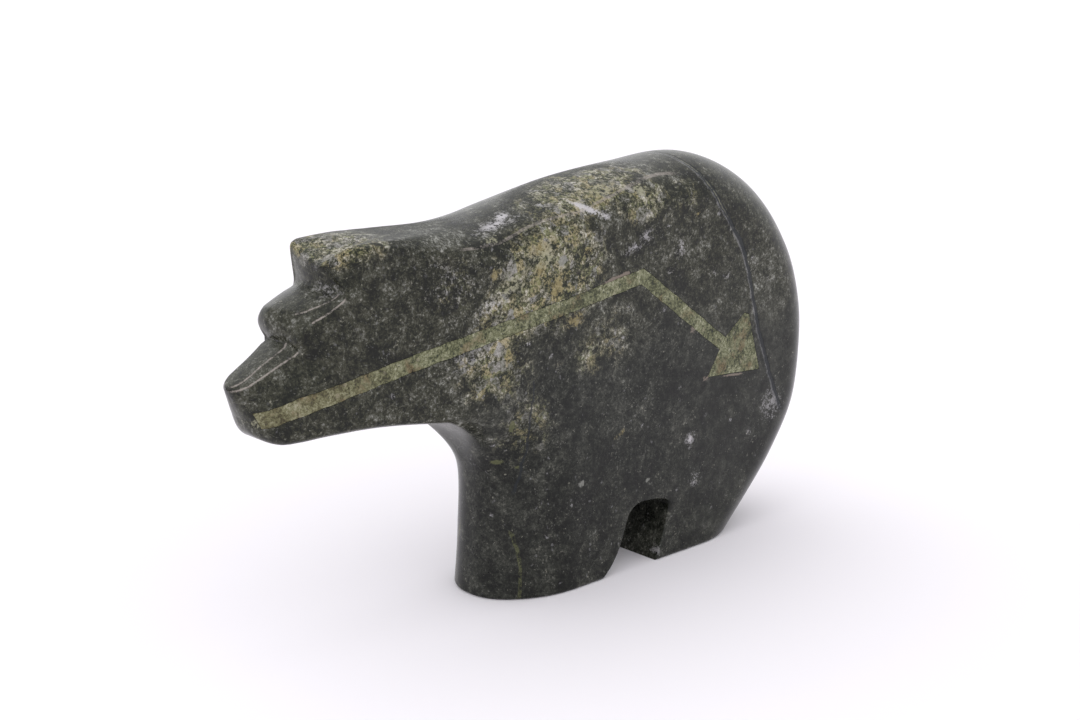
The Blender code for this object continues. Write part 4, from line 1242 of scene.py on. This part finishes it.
@dataclass(frozen=True)
class StoneMarks:
    """Where the minerals, veins and cracks of this stone lie, and where shade and highlights are painted.
    """

    minerals: dict[Mineral, tuple[Patch, ...]] = field(default_factory=lambda: {
        Mineral.OLIVE: patches(
            (-8, -11, 57, 13, 9, 10, 20), (-17, -10, 50, 8, 7, 8, 0, 0.7), (4, -6, 69, 15, 9, 4, 10),
            (14, -10, 66.5, 8, 5, 5, 0, 0.75), (24, -8, 65, 8, 8, 7, 0, 0.5),
            (3, -11.5, 43, 12, 6, 7, 15, 0.5), (-45, -1, 65, 9, 9, 3.4, 0, 1.1),
            (-20, -9, 43, 9, 8, 8, 0, 0.75), (-27, -9, 57, 8, 7, 9, 0, 0.42),
            (-13, -10, 32, 8, 8, 12, 0, 0.5)),
        Mineral.OCHRE: patches(
            (-10.5, -11, 61.4, 2.6, 3, 1.5, 10), (-6.9, -11.4, 54.6, 1.6, 3, 2.6, -20),
            (-10.3, -11.2, 58, 1.4, 3, 2), (0.1, -11.5, 59.8, 1.2, 2, 1, 0, 0.9),
            (-17.2, -10.8, 45.2, 0.8, 2, 3.4, 5, 0.8), (4, -11.5, 41.6, 4.2, 3, 1.8, 15, 0.3),
            (8.2, -11.5, 26.3, 1.2, 2, 0.5, 20, 0.7), (6, -7.6, 69, 8, 3, 1.4, 8, 0.55),
            (-19.7, -10.6, 58.2, 0.8, 2, 1, 0, 0.9), (-6.2, -11.4, 55.7, 1.5, 2, 0.9, 0, 0.9),
            (-2.8, -11.5, 48.4, 2.2, 2, 1.3, 10, 0.9), (27.1, -11.5, 62.8, 0.4, 1, 0.4, 0, 1.3)),
        Mineral.WHITE: patches(
            (14, -11.5, 60.6, 2, 2.5, 1.5, 30), (11, -11.5, 58.9, 3, 2.5, 0.9, 15),
            (-16, -6.6, 65.4, 5.8, 3.5, 0.8, 12, 1.15), (-13.5, -5.2, 66.2, 2.2, 2, 1, 15, 1.25),
            (1.4, -9.6, 66.5, 4.6, 3, 0.6, -26, 1.8), (4.6, -11.2, 65, 1.6, 2, 0.8, -20, 1.2),
            (-6, -10.4, 63.6, 0.3, 3, 2.6, 20, 1.1), (-5.9, -6.1, 67.5, 0.8, 1.5, 0.5, 0, 1.2),
            (1.7, -11.5, 58.4, 1.2, 1.5, 0.8, 0, 0.9), (14.8, -11.5, 64.3, 0.8, 1.5, 0.8, 0, 0.9),
            (19.6, -11.5, 61.7, 0.6, 1, 0.5, 0, 1.1), (32, -11.5, 51.9, 1.2, 1, 0.8, 0, 0.7),
            (35.1, -11.5, 50.5, 0.6, 1, 0.6, 0, 1.3), (18.8, -11.5, 46.5, 0.5, 1, 0.9),
            (23.1, -11.5, 57.5, 0.9, 1.5, 2.2, 0, 1.1), (-47, -3, 58.6, 3, 3, 1.2, 0, 0.9),
            (43.3, -11.5, 19.6, 1.4, 1.5, 1.4, 0, 0.7), (-27.5, -9.5, 57, 5, 3, 6, 20, 0.45),
            (20.1, -11.5, 53.5, 1, 1.5, 0.8, 0, 0.6), (49, -11.5, 24, 3.4, 3, 3, -30, 0.9),
            (-24.5, -10.2, 45.2, 4.6, 3, 2.4, -10, 0.8), (-20.5, -10.5, 53, 4, 3, 1.2, 15, 0.9),
            (18.9, -10.5, 1.6, 0.7, 1.5, 0.9), (26.4, -11.5, 21.4, 1.5, 2, 1.6, 0, 1.2),
            (27.8, -11.5, 13.4, 0.9, 2, 1.7, 0, 1.05)),
        Mineral.VIOLET: patches(
            (-28.5, -9.2, 61, 5, 4, 4.5, 0, 0.45), (-2.2, -11.5, 56.5, 0.9, 2, 0.8, 0, 0.9)),
        Mineral.LIME: patches(
            (-15.7, -10, 32.1, 0.6, 2, 1.3, 10), (-15.6, -6, 25, 1, 2, 0.6, 0, 0.9),
            (-12.5, -8.1, 24, 0.6, 2, 0.5, 0, 0.8)),
        Mineral.PALE: patches(
            (-5.6, -11.4, 58.8, 1, 1.2, 1), (-1.1, -11.4, 19.2, 0.9, 1.5, 0.9, 0, 0.8),
            (16, -11.5, 15.3, 0.8, 1.5, 0.8, 0, 0.7), (2.3, -11.5, 9.6, 0.9, 1.5, 0.6, 0, 0.6),
            (15.7, -11.5, 16.1, 0.8, 1.5, 0.6, 0, 0.8), (36.2, -11, 59.2, 0.8, 1.5, 0.8, 0, 0.9)),
        Mineral.CREAM: patches(
            (14.2, -9.6, 68.3, 1.8, 2, 1.3, 0, 0.9), (6.5, -7.6, 68.9, 3, 2, 1.2, 10, 0.8),
            (-60.4, -3, 40.2, 0.9, 1.5, 0.8, 0, 0.8), (-19, -8.5, 63.2, 2.5, 2, 0.8, 10, 0.8),
            (-16.1, -10.9, 56, 2.2, 2, 1.6, 0, 0.7), (-10, -11, 60, 3, 2, 3.2, 0, 0.7)),
        Mineral.CLAY: patches(
            (7.4, -11.5, 54.3, 4.2, 2, 0.34, 9.5, 1.2), (30.5, -11.5, 32.3, 0.9, 1.5, 0.5, 0, 1.1),
            (39.2, -11.5, 31.6, 5, 1.5, 0.16, -4), (26.6, -11.5, 41.8, 0.9, 1.5, 1.5, 35, 0.8)),
        # Dark patches: the tall one at the cheek below the brow (-51.2, -5.8, 50) is painted shade in the
        # hollow there, the wide one over the lower body (10, -11.5, 14) is painted shade that darkens the
        # body towards the ground, the one on the upper rump (30, -9, 60) darkens it, and the small ones
        # are dark spots of the stone.
        Mineral.DARK: patches(
            (-7.3, -11.4, 57.2, 0.7, 1.5, 0.7), (-3.4, -11.5, 59.4, 0.6, 1.5, 0.6),
            (-10.7, -11.2, 54.5, 0.7, 1.5, 0.7), (-51.2, -5.8, 50, 1.6, 3, 4.6, 12, 2.8),
            (-7.5, -6, 66.6, 2.4, 2, 1, 0, 1.2), (10, -11.5, 14, 45, 30, 22, 0, 1.25),
            (30, -9, 60, 14, 10, 12, 0, 0.45)),
        Mineral.ROUGH: patches(
            (4, -4, 69.6, 14, 8, 2.8, 8, 1.4), (-45, -1, 64.6, 7, 9, 2.4, 0, 1.5),
            (-47.5, -2, 58.4, 4.5, 6, 1.4, 0, 0.9), (-34, -2, 65.4, 13, 8, 2.4, 3, 1.5)),
    })
    seams: tuple[Seam, ...] = (
        Seam("rump_vein", ((27.6, 74.5), (28.2, 71.6), (29.3, 68.9), (31.6, 65.3), (35.9, 59.6),
                           (38.6, 55.9), (40.9, 50.4), (41.9, 46.9), (44.1, 39.5), (47.5, 30.8),
                           (51.6, 22.0)), slant=0.06),
        Seam("chest_crack", ((-14.7, 39.6), (-14.7, 36.9), (-15.3, 32.8), (-14.4, 27.4), (-14.3, 22.7),
                             (-14.9, 19.0))),
        Seam("foot_vein", ((-15.3, 12.6), (-14.6, 8.5), (-14.5, 5.1), (-14.9, -0.5))),
        # Line of the back crease, along which a painted highlight is laid.
        Seam("back_crease", ((-25.8, 62.9), (-18.0, 63.0), (-10.7, 64.9), (-5.1, 65.8), (-0.2, 66.3),
                             (5.1, 67.5), (13.0, 69.2), (19.4, 70.2), (24.7, 70.1)), slant=0.0),
    )
    # Reach of the offsets to the painted highlights on the bevel edges, in millimetres.
    highlight_near: float = 2.0
    highlight_far: float = 9.0
    highlight_true: float = 0.5

    def store(self, mesh: bpy.types.Mesh, highlit_edges: list[Array]) -> None:
        """Store every mineral's weight, every seam's distance and the way to the nearest painted
        highlight.

        Args:
            mesh: The mesh.
            highlit_edges: Lines of the bevel edges that get a painted highlight, in millimetres.
        """
        points = Maker.points_of(mesh)
        for mineral, places in self.minerals.items():
            weight = np.maximum.reduce([patch.weigh(points) for patch in places])
            Maker.keep(mesh, mineral.value, weight)
        for seam in self.seams:
            Maker.keep(mesh, seam.name, seam.measure(points))
        # Offsets to the bevel edges, read by the painted highlight.
        Maker.keep(mesh, "worn_top", self.way_to(points, highlit_edges[0::2]))
        Maker.keep(mesh, "worn_low", self.way_to(points, highlit_edges[1::2]))

    def way_to(self, points: Array, lines: list[Array]) -> Array:
        """Offset of each point from its nearest place on the lines, made longer the farther it is.

        Near a line the offset is kept as it is, so that it reads through zero on the line. Beyond half
        a millimetre it grows fast, so that it can't seem short where two nearest places meet.

        Args:
            points: Points in millimetres.
            lines: Lines of the bevel edges that get a painted highlight, in millimetres.

        Returns:
            One offset per point.
        """
        ways = np.full(points.shape, self.highlight_far)
        corner = np.min([line.min(axis=0) for line in lines], axis=0) - self.highlight_near
        end = np.max([line.max(axis=0) for line in lines], axis=0) + self.highlight_near
        near = np.flatnonzero(((points > corner) & (points < end)).all(axis=1))
        for line in lines:
            gap, where = nearest(points[near], line)
            offset = points[near] - on_line(line, np.arange(len(line)), where)
            closer = gap < np.linalg.norm(ways[near], axis=1)
            ways[near[closer]] = offset[closer]
        return ways * (1.0 + (np.linalg.norm(ways, axis=1, keepdims=True) / self.highlight_true)**4)


@dataclass(frozen=True)
class Layer:
    """The paint of one mineral, in the finish's colour of the same name.

    Shares of the grain, the gravel and the mottle are added to the stored weight, so that the edge of
    a patch breaks up. The sum less the loss eases from 0 to 1 between the limits.
    """

    mineral: Mineral
    strength: float
    loss: float
    limits: Pair
    grain: float = 0.0
    gravel: float = 0.0
    mottle: float = 0.0


@dataclass(frozen=True)
class Stroke:
    """How a stored seam is painted: half its width in millimetres, its wander and its strength."""

    seam: str
    half: float
    wander: float
    strength: float


@dataclass
class Variation:
    """What varies through the serpentine: its noises, and the masks that say where they are strong.

    Sizes and places are in millimetres. A pair of places says where a mask is 0 and where it is 1, in
    X or, for the upper heights, in Z.
    """

    tree: Tree
    bend: float = 2.4
    raggedness: float = 1.3
    streak: float = 0.45
    cloud_size: float = 13.0
    cloud_sway: float = 30.0
    mottle_contrast: float = 1.6
    grain_contrast: float = 1.5
    wander_reach: float = 1.1
    upper_heights: Pair = (36.0, 56.0)
    upper_front: Pair = (-16.0, -32.0)
    rump: Pair = (20.0, 34.0)
    head: Pair = (-20.0, -34.0)
    cheek: Pair = (-14.0, -30.0)
    muzzle: Pair = (-36.0, -46.0)
    stone_size: float = 1.7
    gravel_size: float = 0.7

    def __post_init__(self) -> None:
        """Draw the noises, weigh them by the places on the carving, and add up the tint."""
        tree = self.tree
        self.place = tree.object_mm()
        self.front, self.side, self.height = tree.parts(self.place)
        self.ragged = tree.swayed(self.place, 0.9, 3.0, 0.7, self.raggedness)
        bent = tree.swayed(self.place, 4.0, 4.0, 0.6, self.bend)
        streaks = tree.noise(tree.vector("MULTIPLY", bent, (1.0, 1.0, self.streak)), 5.0, 4.0, 0.7)
        self.cloud = tree.noise(self.place, self.cloud_size, 3.0)
        self.mottle = 0.5 + tree.noise(bent, 3.0, 5.0, 0.92).swing(self.mottle_contrast)
        self.grain = 0.5 + tree.noise(self.place, 0.5, 3.0, 0.85).swing(self.grain_contrast)
        self.wander = tree.noise(self.place, 2.4, 4.0, 0.6).swing(self.wander_reach)
        self.stones, self.chance = tree.pebbles(self.ragged, self.stone_size)
        self.gravel, self.speck = tree.pebbles(self.ragged, self.gravel_size)
        self.rough = tree.kept(Mineral.ROUGH.value)
        self.snow = tree.kept(Mineral.WHITE.value)
        self.upper = ((self.height + self.cloud.swing(self.cloud_sway)).ease(*self.upper_heights)
                      .most(self.front.ease(*self.upper_front)))
        self.calm = ((self.front.ease(*self.rump) * (1.0 - self.upper))
                     .most(self.front.ease(*self.muzzle) * 0.35))
        self.patchy = (streaks.ease(0.46, 0.60).most(self.front.ease(*self.head) * 0.4)
                       * (1.0 - self.calm * 0.7))
        self.olive = (tree.kept(Mineral.OLIVE.value) * 0.9 + self.mottle * 0.7 - 0.60).ease(0.05, 0.40)
        self.tint = self.summed_tint()

    def summed_tint(self) -> Wire:
        """How light the stone is, from 0 to 1 and about 0.5 on the whole."""
        upper, calm, olive, rough = self.upper, self.calm, self.olive, self.rough
        return (0.5 + self.mottle.swing(0.9 + upper * 0.30 - calm * 0.2) + self.cloud.swing(0.5)
                + self.grain.swing(0.42 + upper * 0.20 + olive * 0.50 + rough * 0.35 - calm * 0.34)
                + self.front.ease(*self.cheek) * 0.014 + rough * 0.03
                + (self.stones.swing(0.16) + self.gravel.swing(0.16)) * (olive + upper * 0.18)
                # The dark patches lower the tint; some of them are painted shade.
                - self.tree.kept(Mineral.DARK.value) * 0.07 + self.snow * 0.05)

    def mask(self, layer: Layer) -> Wire:
        """Mask of a mineral's patches, with their edges broken up as its layer says."""
        value = self.tree.kept(layer.mineral.value)
        for noise, share in ((self.grain, layer.grain), (self.gravel, layer.gravel),
                             (self.mottle, layer.mottle)):
            if share:
                value = value + noise * share
        return (value - layer.loss).ease(*layer.limits)

    def drawn(self, stroke: Stroke) -> tuple[Wire, Wire, Wire]:
        """Mask of a stroke, the signed distance to its middle, and its span along the stored line."""
        apart, along, _ = self.tree.parts(self.tree.kept(stroke.seam, "Vector"))
        span = along.ease(-0.01, 0.03) * along.ease(1.02, 0.96)
        away = apart + (self.wander if stroke.wander == 1.0 else self.wander * stroke.wander)
        return abs(away).ease(stroke.half, stroke.half * 0.5) * span, away, span


@dataclass(frozen=True)
class PolishedSerpentine:
    """Dark green serpentine with a satin polish: cloudy ground, pale and dark grains, minerals, veins.

    The two ramps hold linear colours by tint, the first for the grey ground and the second for the
    olive patches.
    """

    ground: tuple[tuple[float, Triple], ...] = (
        (0.26, (0.003, 0.0035, 0.0025)), (0.41, (0.011, 0.012, 0.009)), (0.50, (0.023, 0.0245, 0.019)),
        (0.60, (0.042, 0.043, 0.035)), (0.72, (0.090, 0.090, 0.076)), (0.90, (0.28, 0.28, 0.25)))
    olive: tuple[tuple[float, Triple], ...] = (
        (0.26, (0.010, 0.013, 0.006)), (0.41, (0.046, 0.048, 0.023)), (0.50, (0.092, 0.089, 0.050)),
        (0.60, (0.163, 0.152, 0.096)), (0.72, (0.275, 0.255, 0.190)), (0.90, (0.51, 0.49, 0.42)))
    warmth: Triple = (1.08, 1.05, 0.80)
    ochre: Triple = (0.29, 0.237, 0.108)
    moss: Triple = (0.13, 0.145, 0.045)
    white: Triple = (0.56, 0.54, 0.56)
    cream: Triple = (0.31, 0.30, 0.205)
    # Pale colour of the painted highlights on the bevel edges and along the back crease.
    painted_highlight: Triple = (0.33, 0.29, 0.265)
    pale: Triple = (0.22, 0.22, 0.20)
    ash: Triple = (0.20, 0.195, 0.205)
    clay: Triple = (0.21, 0.17, 0.14)
    violet: Triple = (0.080, 0.065, 0.060)
    lime: Triple = (0.10, 0.105, 0.045)
    soot: Triple = (0.006, 0.008, 0.006)
    ink: Triple = (0.012, 0.015, 0.018)
    vein: Stroke = Stroke("rump_vein", 0.62, 1.0, 0.85)
    crack: Stroke = Stroke("chest_crack", 0.22, 1.0, 0.80)
    strand: Stroke = Stroke("foot_vein", 0.26, 0.5, 0.60)
    # Painted highlight along the back crease.
    crease: Stroke = Stroke("back_crease", 0.26, 0.4, 0.45)
    beside_vein: float = 0.52
    beside_strength: float = 0.38
    rust_place: float = 0.02
    rust_heights: Pair = (58.0, 66.0)
    rust_strength: float = 0.45
    # Where the painted highlight on the back crease fades out across the back, in Y.
    crease_highlight_side: Pair = (3.0, 0.0)
    # Where the painted highlight on the bevel edges fades in, how far it wanders and how strong it is.
    highlight_limits: Pair = (0.24, 0.05)
    highlight_sway: float = 0.45
    highlight_strength: float = 0.80
    relief_depth: float = 0.00012
    ior: float = 1.34
    fine_grain: Grain = Grain(0.42, 0.26, (0.16, 0.40), 0.34)
    fine_gain_above: float = 0.28
    middle_grain: Grain = Grain(0.9, 0.18, (0.12, 0.36), 0.50)
    large_grain: Grain = Grain(2.4, 0.10, (0.04, 0.22), 0.55)
    soot_grain: Grain = Grain(0.6, 0.26, (0.12, 0.42), 0.75)
    pit: Grain = Grain(0.34, 0.45, (0.18, 0.46), 0.70)
    below: tuple[Layer, ...] = (
        Layer(Mineral.VIOLET, 0.45, 0.5, (0.15, 0.7), mottle=0.6),
        Layer(Mineral.OCHRE, 0.65, 1.25, (0.1, 0.6), grain=0.9, gravel=0.5, mottle=0.6))
    snow: Layer = Layer(Mineral.WHITE, 0.50, 1.98, (0.2, 0.8), grain=2.2, gravel=0.7, mottle=0.4)
    above: tuple[Layer, ...] = (
        Layer(Mineral.CREAM, 0.7, 1.3, (0.1, 0.5), grain=1.2, gravel=0.7),
        Layer(Mineral.PALE, 0.8, 0.25, (0.35, 0.6), grain=0.5),
        Layer(Mineral.LIME, 0.75, 0.3, (0.35, 0.6), grain=0.6),
        Layer(Mineral.CLAY, 0.8, 0.3, (0.35, 0.6), grain=0.6))

    def material(self) -> bpy.types.Material:
        """Build the material: ground, minerals, grains and seams, each painted over the last."""
        tree = Tree("polished_serpentine")
        look = Variation(tree)
        colour = self.minerals(look, self.stone(look), self.below)

        fine = tree.grains(look.ragged, self.fine_grain) * look.patchy
        middle = tree.grains(look.ragged, self.middle_grain) * look.patchy
        large = tree.grains(look.ragged, self.large_grain) * look.grain.ease(0.40, 0.62)
        soot = tree.grains(look.ragged, self.soot_grain) * (0.35 + look.upper * 0.5)
        pits = tree.grains(look.place, self.pit) * (look.rough + look.grain - 0.6).ease(0.2, 0.6)
        white = look.mask(self.snow) * (0.30 + look.snow.ease(0.7, 1.2) * self.snow.strength)
        fine_strength = self.fine_grain.strength + look.upper * self.fine_gain_above
        colour = tree.lay(colour, (fine * fine_strength, self.pale),
                          (middle * self.middle_grain.strength, self.ash),
                          (large * self.large_grain.strength, self.white),
                          (soot * self.soot_grain.strength, self.soot),
                          (pits * self.pit.strength, self.soot), (white, self.white))
        colour, vein = self.seams(look, self.minerals(look, colour, self.above))

        matt = (look.rough + look.grain * 0.5 - 0.25).ease(0.3, 0.7)
        polish = 0.19 + look.grain * 0.12 + middle * 0.08 + matt * 0.20
        relief = (tree.noise(look.place, 0.35, 3.0, 0.7) * (0.10 + matt * 0.9)
                  + tree.noise(look.place, 1.7, 2.0) * 0.25 - vein * 0.5 - pits * 0.6)
        return tree.dress(Base_Color=colour, Roughness=polish,
                          Normal=tree.bump(relief, self.relief_depth), IOR=self.ior)

    def stone(self, look: Variation) -> Wire:
        """Colour of the bare stone: the grey ground, warmer high up, with the olive patches in it."""
        tree, tint, bright = look.tree, look.tint, look.tint.ease(0.40, 0.60)
        ground = tree.ramp(tint, self.ground)
        ground = tree.mix(look.upper * tint.ease(0.74, 0.52), ground,
                          tree.vector("MULTIPLY", ground, self.warmth))
        patchwork = tree.lay(tree.ramp(tint, self.olive),
                             (look.chance.ease(0.70, 0.82) * bright * 0.55, self.ochre),
                             (look.speck.ease(0.64, 0.78) * bright * 0.55, self.moss),
                             (look.chance.ease(0.32, 0.20) * bright * 0.60, self.ash))
        return tree.mix(look.olive, ground, patchwork)

    def minerals(self, look: Variation, colour: Wire, layers: tuple[Layer, ...]) -> Wire:
        """The colour under layers of minerals, each in this finish's colour of its name."""
        for layer in layers:
            paint = getattr(self, layer.mineral.value)
            colour = look.tree.mix(look.mask(layer) * layer.strength, colour, paint)
        return colour

    def seams(self, look: Variation, colour: Wire) -> tuple[Wire, Wire]:
        """Lay the veins, the crack, a painted highlight along the crease and painted highlights along the
        bevel edges over a colour.

        Args:
            look: What varies through the stone.
            colour: The colour under them.

        Returns:
            The new colour, and the mask of the dark vein.
        """
        tree, mottle = look.tree, look.mottle
        vein, way, span = look.drawn(self.vein)
        crack, _, _ = look.drawn(self.crack)
        strand, _, _ = look.drawn(self.strand)
        # The crease stroke is a painted highlight along the back crease.
        crease, _, _ = look.drawn(self.crease)
        beside = abs(way + self.beside_vein).ease(0.34, 0.08) * span * mottle.ease(0.40, 0.58)
        rust = (abs(way - self.rust_place).ease(0.16, 0.05) * span * look.height.ease(*self.rust_heights)
                * mottle.ease(0.36, 0.56))
        strand = strand * mottle.ease(0.36, 0.56)
        crease = crease * look.side.ease(*self.crease_highlight_side) * mottle.ease(0.32, 0.56)
        colour = tree.lay(colour, (vein * self.vein.strength, self.ink),
                          (beside * self.beside_strength, self.ash),
                          (rust * self.rust_strength, self.cream),
                          (crack * self.crack.strength, self.ink),
                          (strand * self.strand.strength, self.lime),
                          # Painted highlight along the back crease.
                          (crease * self.crease.strength, self.painted_highlight))
        # Painted highlight along the upper and lower bevel lines, where the edges catch the light.
        for name in ("worn_top", "worn_low"):
            away = tree.vector("LENGTH", tree.kept(name, "Vector"), (0.0, 0.0, 0.0), "Value")
            painted_highlight = (away + look.grain.swing(self.highlight_sway)).ease(*self.highlight_limits)
            colour = tree.mix(painted_highlight * mottle.ease(0.28, 0.54) * self.highlight_strength, colour, self.painted_highlight)
        return colour, vein


@dataclass(frozen=True)
class LimeStone:
    """Lime to olive stone of the heartline, mottled with dark green flecks and brown stain."""

    ground: tuple[tuple[float, Triple], ...] = (
        (0.28, (0.016, 0.020, 0.008)), (0.42, (0.076, 0.080, 0.037)), (0.52, (0.134, 0.140, 0.072)),
        (0.64, (0.208, 0.212, 0.125)), (0.82, (0.39, 0.385, 0.29)))
    fleck: Triple = (0.018, 0.024, 0.018)
    stain: Triple = (0.15, 0.092, 0.045)
    cream: Triple = (0.34, 0.31, 0.22)
    cream_grain: Grain = Grain(1.2, 0.22, (0.10, 0.42), 0.5)
    dark_grain: Grain = Grain(0.5, 0.38, (0.12, 0.44), 0.9)
    mouth_end: Pair = (-30.0, -54.0)
    relief_depth: float = 0.00005
    ior: float = 1.36

    def material(self) -> bpy.types.Material:
        """Build the material."""
        tree = Tree("lime_stone")
        place = tree.object_mm()
        ragged = tree.swayed(place, 0.8, 3.0, 0.7, 1.0)
        mottle = 0.5 + tree.noise(place, 2.6, 5.0, 0.7, 0.4).swing(1.3)
        grain = 0.5 + tree.noise(place, 0.45, 3.0, 0.85).swing(1.5)
        colour = tree.ramp(0.5 + mottle.swing(0.8) + grain.swing(0.9), self.ground)
        patch = tree.noise(place, 5.0, 3.0, 0.6).ease(0.32, 0.50)
        fleck = tree.grains(ragged, self.dark_grain) * patch
        stain = (tree.noise(place, 3.5, 3.0) + grain.swing(0.3)).ease(0.56, 0.70)
        brown = stain * 0.5 + tree.parts(place)[0].ease(*self.mouth_end) * 0.20
        cream = tree.grains(ragged, self.cream_grain)
        colour = tree.lay(colour, (cream * self.cream_grain.strength, self.cream),
                          (fleck * self.dark_grain.strength, self.fleck), (brown, self.stain))
        return tree.dress(Base_Color=colour, Roughness=0.40 + grain * 0.14,
                          Normal=tree.bump(grain, self.relief_depth), IOR=self.ior)


@dataclass(frozen=True)
class PaleFloor:
    """Plain pale paper floor."""

    colour: Triple = (0.93, 0.90, 0.935)
    dulling: float = 0.99

    def material(self) -> bpy.types.Material:
        """Build the material."""
        tree = Tree("pale_floor")
        place = tree.node("ShaderNodeTexCoord", {}, {}, "Object")
        cloud = tree.node("ShaderNodeTexNoise", {}, {"Vector": place, "Scale": 6.0, "Detail": 2.0})
        dull = tuple(part * self.dulling for part in self.colour)
        return tree.dress(Base_Color=tree.mix(cloud, self.colour, dull), Roughness=0.85,
                          Specular_IOR_Level=0.2)


@dataclass
class Studio:
    """Floor, one wide soft light, a pale surround and the camera at the photograph's viewing angle."""

    floor_half: float = 6.0
    camera_place: Triple = (-0.1869, -0.2037, 0.1101)
    azimuth: float = -42.5
    pitch: float = 14.45
    lens: float = 54.5
    light_from: Triple = (-0.15, 0.15, 1.0)
    light_power: float = 0.35
    light_spread: float = 80.0
    surround: float = 1.12
    surround_colour: Triple = (0.98, 0.98, 1.0)
    floor_points: int = 9
    sensor: float = 36.0
    clip: Pair = (0.01, 50.0)

    def build(self) -> None:
        """Make the floor, the light, the world and the camera."""
        t = np.linspace(-self.floor_half, self.floor_half, self.floor_points)
        x, y = np.meshgrid(t, t, indexing="ij")
        grid = np.stack([x, y, np.zeros_like(x)], axis=-1)
        ids = np.arange(x.size).reshape(x.shape)
        faces = np.stack([ids[:-1, :-1], ids[1:, :-1], ids[1:, 1:], ids[:-1, 1:]], -1).reshape(-1, 4)
        mesh = bpy.data.meshes.new("pale_floor")
        mesh.from_pydata(grid.reshape(-1, 3), [], faces)
        floor = Maker.place("pale_floor", mesh)
        mesh.materials.append(PaleFloor().material())
        self.add_light()
        self.add_world()
        self.add_camera()

    def add_light(self) -> None:
        """One soft light as wide as a ceiling diffuser, from above and behind the carving's left side."""
        lamp = bpy.data.lights.new("soft_light", "SUN")
        lamp.angle = np.radians(self.light_spread)
        lamp.energy = self.light_power
        item = bpy.data.objects.new("soft_light", lamp)
        item.location = self.light_from
        item.rotation_euler = item.location.to_track_quat("Z", "Y").to_euler()
        bpy.context.scene.collection.objects.link(item)

    def add_world(self) -> None:
        """A pale even surround."""
        world = bpy.data.worlds.new("pale_surround")
        world.use_nodes = True
        shade = world.node_tree.nodes["Background"]
        shade.inputs["Color"].default_value = (*self.surround_colour, 1.0)
        shade.inputs["Strength"].default_value = self.surround
        bpy.context.scene.world = world
        bpy.context.scene.view_settings.view_transform = "Standard"

    def add_camera(self) -> None:
        """The camera, placed and turned as the photograph was taken."""
        lens = bpy.data.cameras.new("camera")
        lens.lens = self.lens
        lens.sensor_width = self.sensor
        lens.clip_start, lens.clip_end = self.clip
        item = bpy.data.objects.new("camera", lens)
        item.location = self.camera_place
        item.rotation_euler = (np.radians(90.0 - self.pitch), 0.0, np.radians(self.azimuth))
        bpy.context.scene.collection.objects.link(item)
        bpy.context.scene.camera = item


def main() -> None:
    """Build the studio, the carved body and its heartline, and report each piece."""
    logging.basicConfig(level=logging.INFO, format="%(message)s")
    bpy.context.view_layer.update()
    Studio().build()
    maker = Maker()
    slab = Slab()
    heartline = Heartline(slab)
    serpentine = PolishedSerpentine().material()
    lime = LimeStone().material()

    carving = CarvedBody(slab)
    body = carving.build([LegNotch(slab).cutter(), heartline.slot_cutter()])
    # Store the minerals, the seams and the offsets to the painted highlights.
    StoneMarks().store(body.data, carving.highlit_edges)
    maker.finish(body, serpentine, ["bear_body"])
    for node, tile in heartline.tiles():
        maker.finish(tile, lime, [node])


if __name__ == "__main__":
    main()
